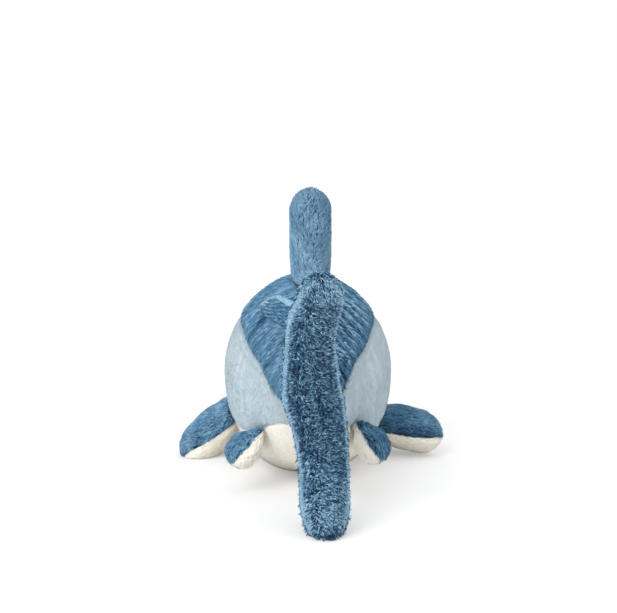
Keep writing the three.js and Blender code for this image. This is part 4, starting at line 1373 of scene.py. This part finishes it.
class PLUSH_OT_face(bpy.types.Operator):
    """Makes the glossy eyes with their stems and washers, and the stitched corners of the mouth"""

    bl_idname = "plush.face"
    bl_label = "Face"

    def execute(self, context):
        colours = context.scene.plush_colours
        shine = {"Specular IOR Level": 0.3, "Coat Weight": 0.12}
        glint = mixed(colours.eye, (1, 1, 1), 0.01)
        gloss = noise_finish("eye_gloss", colours.eye, glint, 2, 0.1, **shine)
        matte = noise_finish("washer_matte", (0.78, 0.78, 0.75), (0.84, 0.84, 0.81), 3, 0.5, 0.05)
        thread = noise_finish(
            "mouth_thread", colours.blue_root, colours.blue_dark, 0.6, 0.7, 0.1
        )
        for side, word in SIDES:
            for name, profile, finish, slot in (
                ("eye_" + word, eye_profile(), gloss, "eye_plastic"),
                ("eye_washer_" + word, washer_profile(), matte, "washer_plastic"),
            ):
                piece = turned_piece("shaped_" + name, profile, eye_seat(side), finish)
                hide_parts(name)
                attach(piece, "body")
            sunk = Matrix.Translation((0, 0, -0.3))
            places = [place @ sunk for place in mouth_line(side)]
            mouth = stitched_line("mouth_" + word, places, thread)
            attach(mouth, "body")
        return {"FINISHED"}


class PLUSH_OT_stage(bpy.types.Operator):
    """Sets the pale floor, the soft lamps and the camera"""

    bl_idname = "plush.stage"
    bl_label = "Stage"

    def execute(self, context):
        scene = context.scene
        deselect_all()
        bpy.ops.mesh.primitive_plane_add(size=40, location=(0, 0, 0))
        floor = context.object
        floor.name = "floor"
        white = bpy.data.materials.new("floor_white")
        board = blank_board(white)
        seen = board.add("ShaderNodeLightPath", output="Is Camera Ray")
        matte = board.add("ShaderNodeBsdfDiffuse", {"Color": 0.92 - seen * 0.13})
        glow = board.add("ShaderNodeEmission", {"Color": WHITE, "Strength": 1.0})
        mix = board.add("ShaderNodeMixShader", {0: seen * 0.3, 1: matte, 2: glow})
        board.end("ShaderNodeOutputMaterial", mix)
        floor.data.materials.append(white)
        scene.world = bpy.data.worlds.new("studio")
        board = blank_board(scene.world)
        sky = board.add("ShaderNodeBackground", {"Color": WHITE, "Strength": 1.0})
        board.end("ShaderNodeOutputWorld", sky)

        def shown(name, data, place, turn):
            piece = bpy.data.objects.new(name, data)
            scene.collection.objects.link(piece)
            piece.location = place
            piece.rotation_euler = turn
            return piece

        for name, place, wide, power in LAMPS:
            lamp = bpy.data.lights.new(name, "SUN")
            lamp.energy = power
            lamp.angle = math.radians(wide)
            shown(name, lamp, place, (-Vector(place)).to_track_quat("-Z", "Y").to_euler())
        camera = bpy.data.cameras.new("camera")
        camera.sensor_width = SENSOR_MM
        camera.lens = SENSOR_MM * FOCAL_PIXELS / VIEW_PIXELS
        turn = (math.radians(90 - CAMERA_DIP), 0, 0)
        scene.camera = shown("camera", camera, CAMERA_PLACE, turn)
        scene.view_settings.view_transform = "Standard"
        return {"FINISHED"}


STEPS = (
    PLUSH_OT_back,
    PLUSH_OT_sides,
    PLUSH_OT_belly,
    PLUSH_OT_bill,
    PLUSH_OT_tail_fin,
    PLUSH_OT_dorsal_fin,
    PLUSH_OT_rear_dorsal_fin,
    PLUSH_OT_pectoral_fins,
    PLUSH_OT_pelvic_fins,
    PLUSH_OT_face,
    PLUSH_OT_stage,
)


class PLUSH_PT_swordfish(bpy.types.Panel):
    bl_label = "Plush Swordfish"
    bl_idname = "PLUSH_PT_swordfish"
    bl_space_type = "VIEW_3D"
    bl_region_type = "UI"
    bl_category = "Swordfish"

    def draw(self, context):
        for group in (context.scene.plush_sizes, context.scene.plush_colours):
            box = self.layout.box()
            for name in group.__annotations__:
                box.prop(group, name)
        column = self.layout.column(align=True)
        for step in STEPS:
            column.operator(step.bl_idname)


CLASSES = (PlushSizes, PlushColours, *STEPS, PLUSH_PT_swordfish)


def register():
    for found in CLASSES:
        bpy.utils.register_class(found)
    bpy.types.Scene.plush_sizes = PointerProperty(type=PlushSizes)
    bpy.types.Scene.plush_colours = PointerProperty(type=PlushColours)


def unregister():
    del bpy.types.Scene.plush_colours
    del bpy.types.Scene.plush_sizes
    for found in reversed(CLASSES):
        bpy.utils.unregister_class(found)


def main():
    register()
    for step in STEPS:
        group, name = step.bl_idname.split(".")
        getattr(getattr(bpy.ops, group), name)()
    lock = bpy.data.objects.get("lock_of_fur")
    if lock:
        bpy.data.objects.remove(lock)


if __name__ == "__main__":
    main()
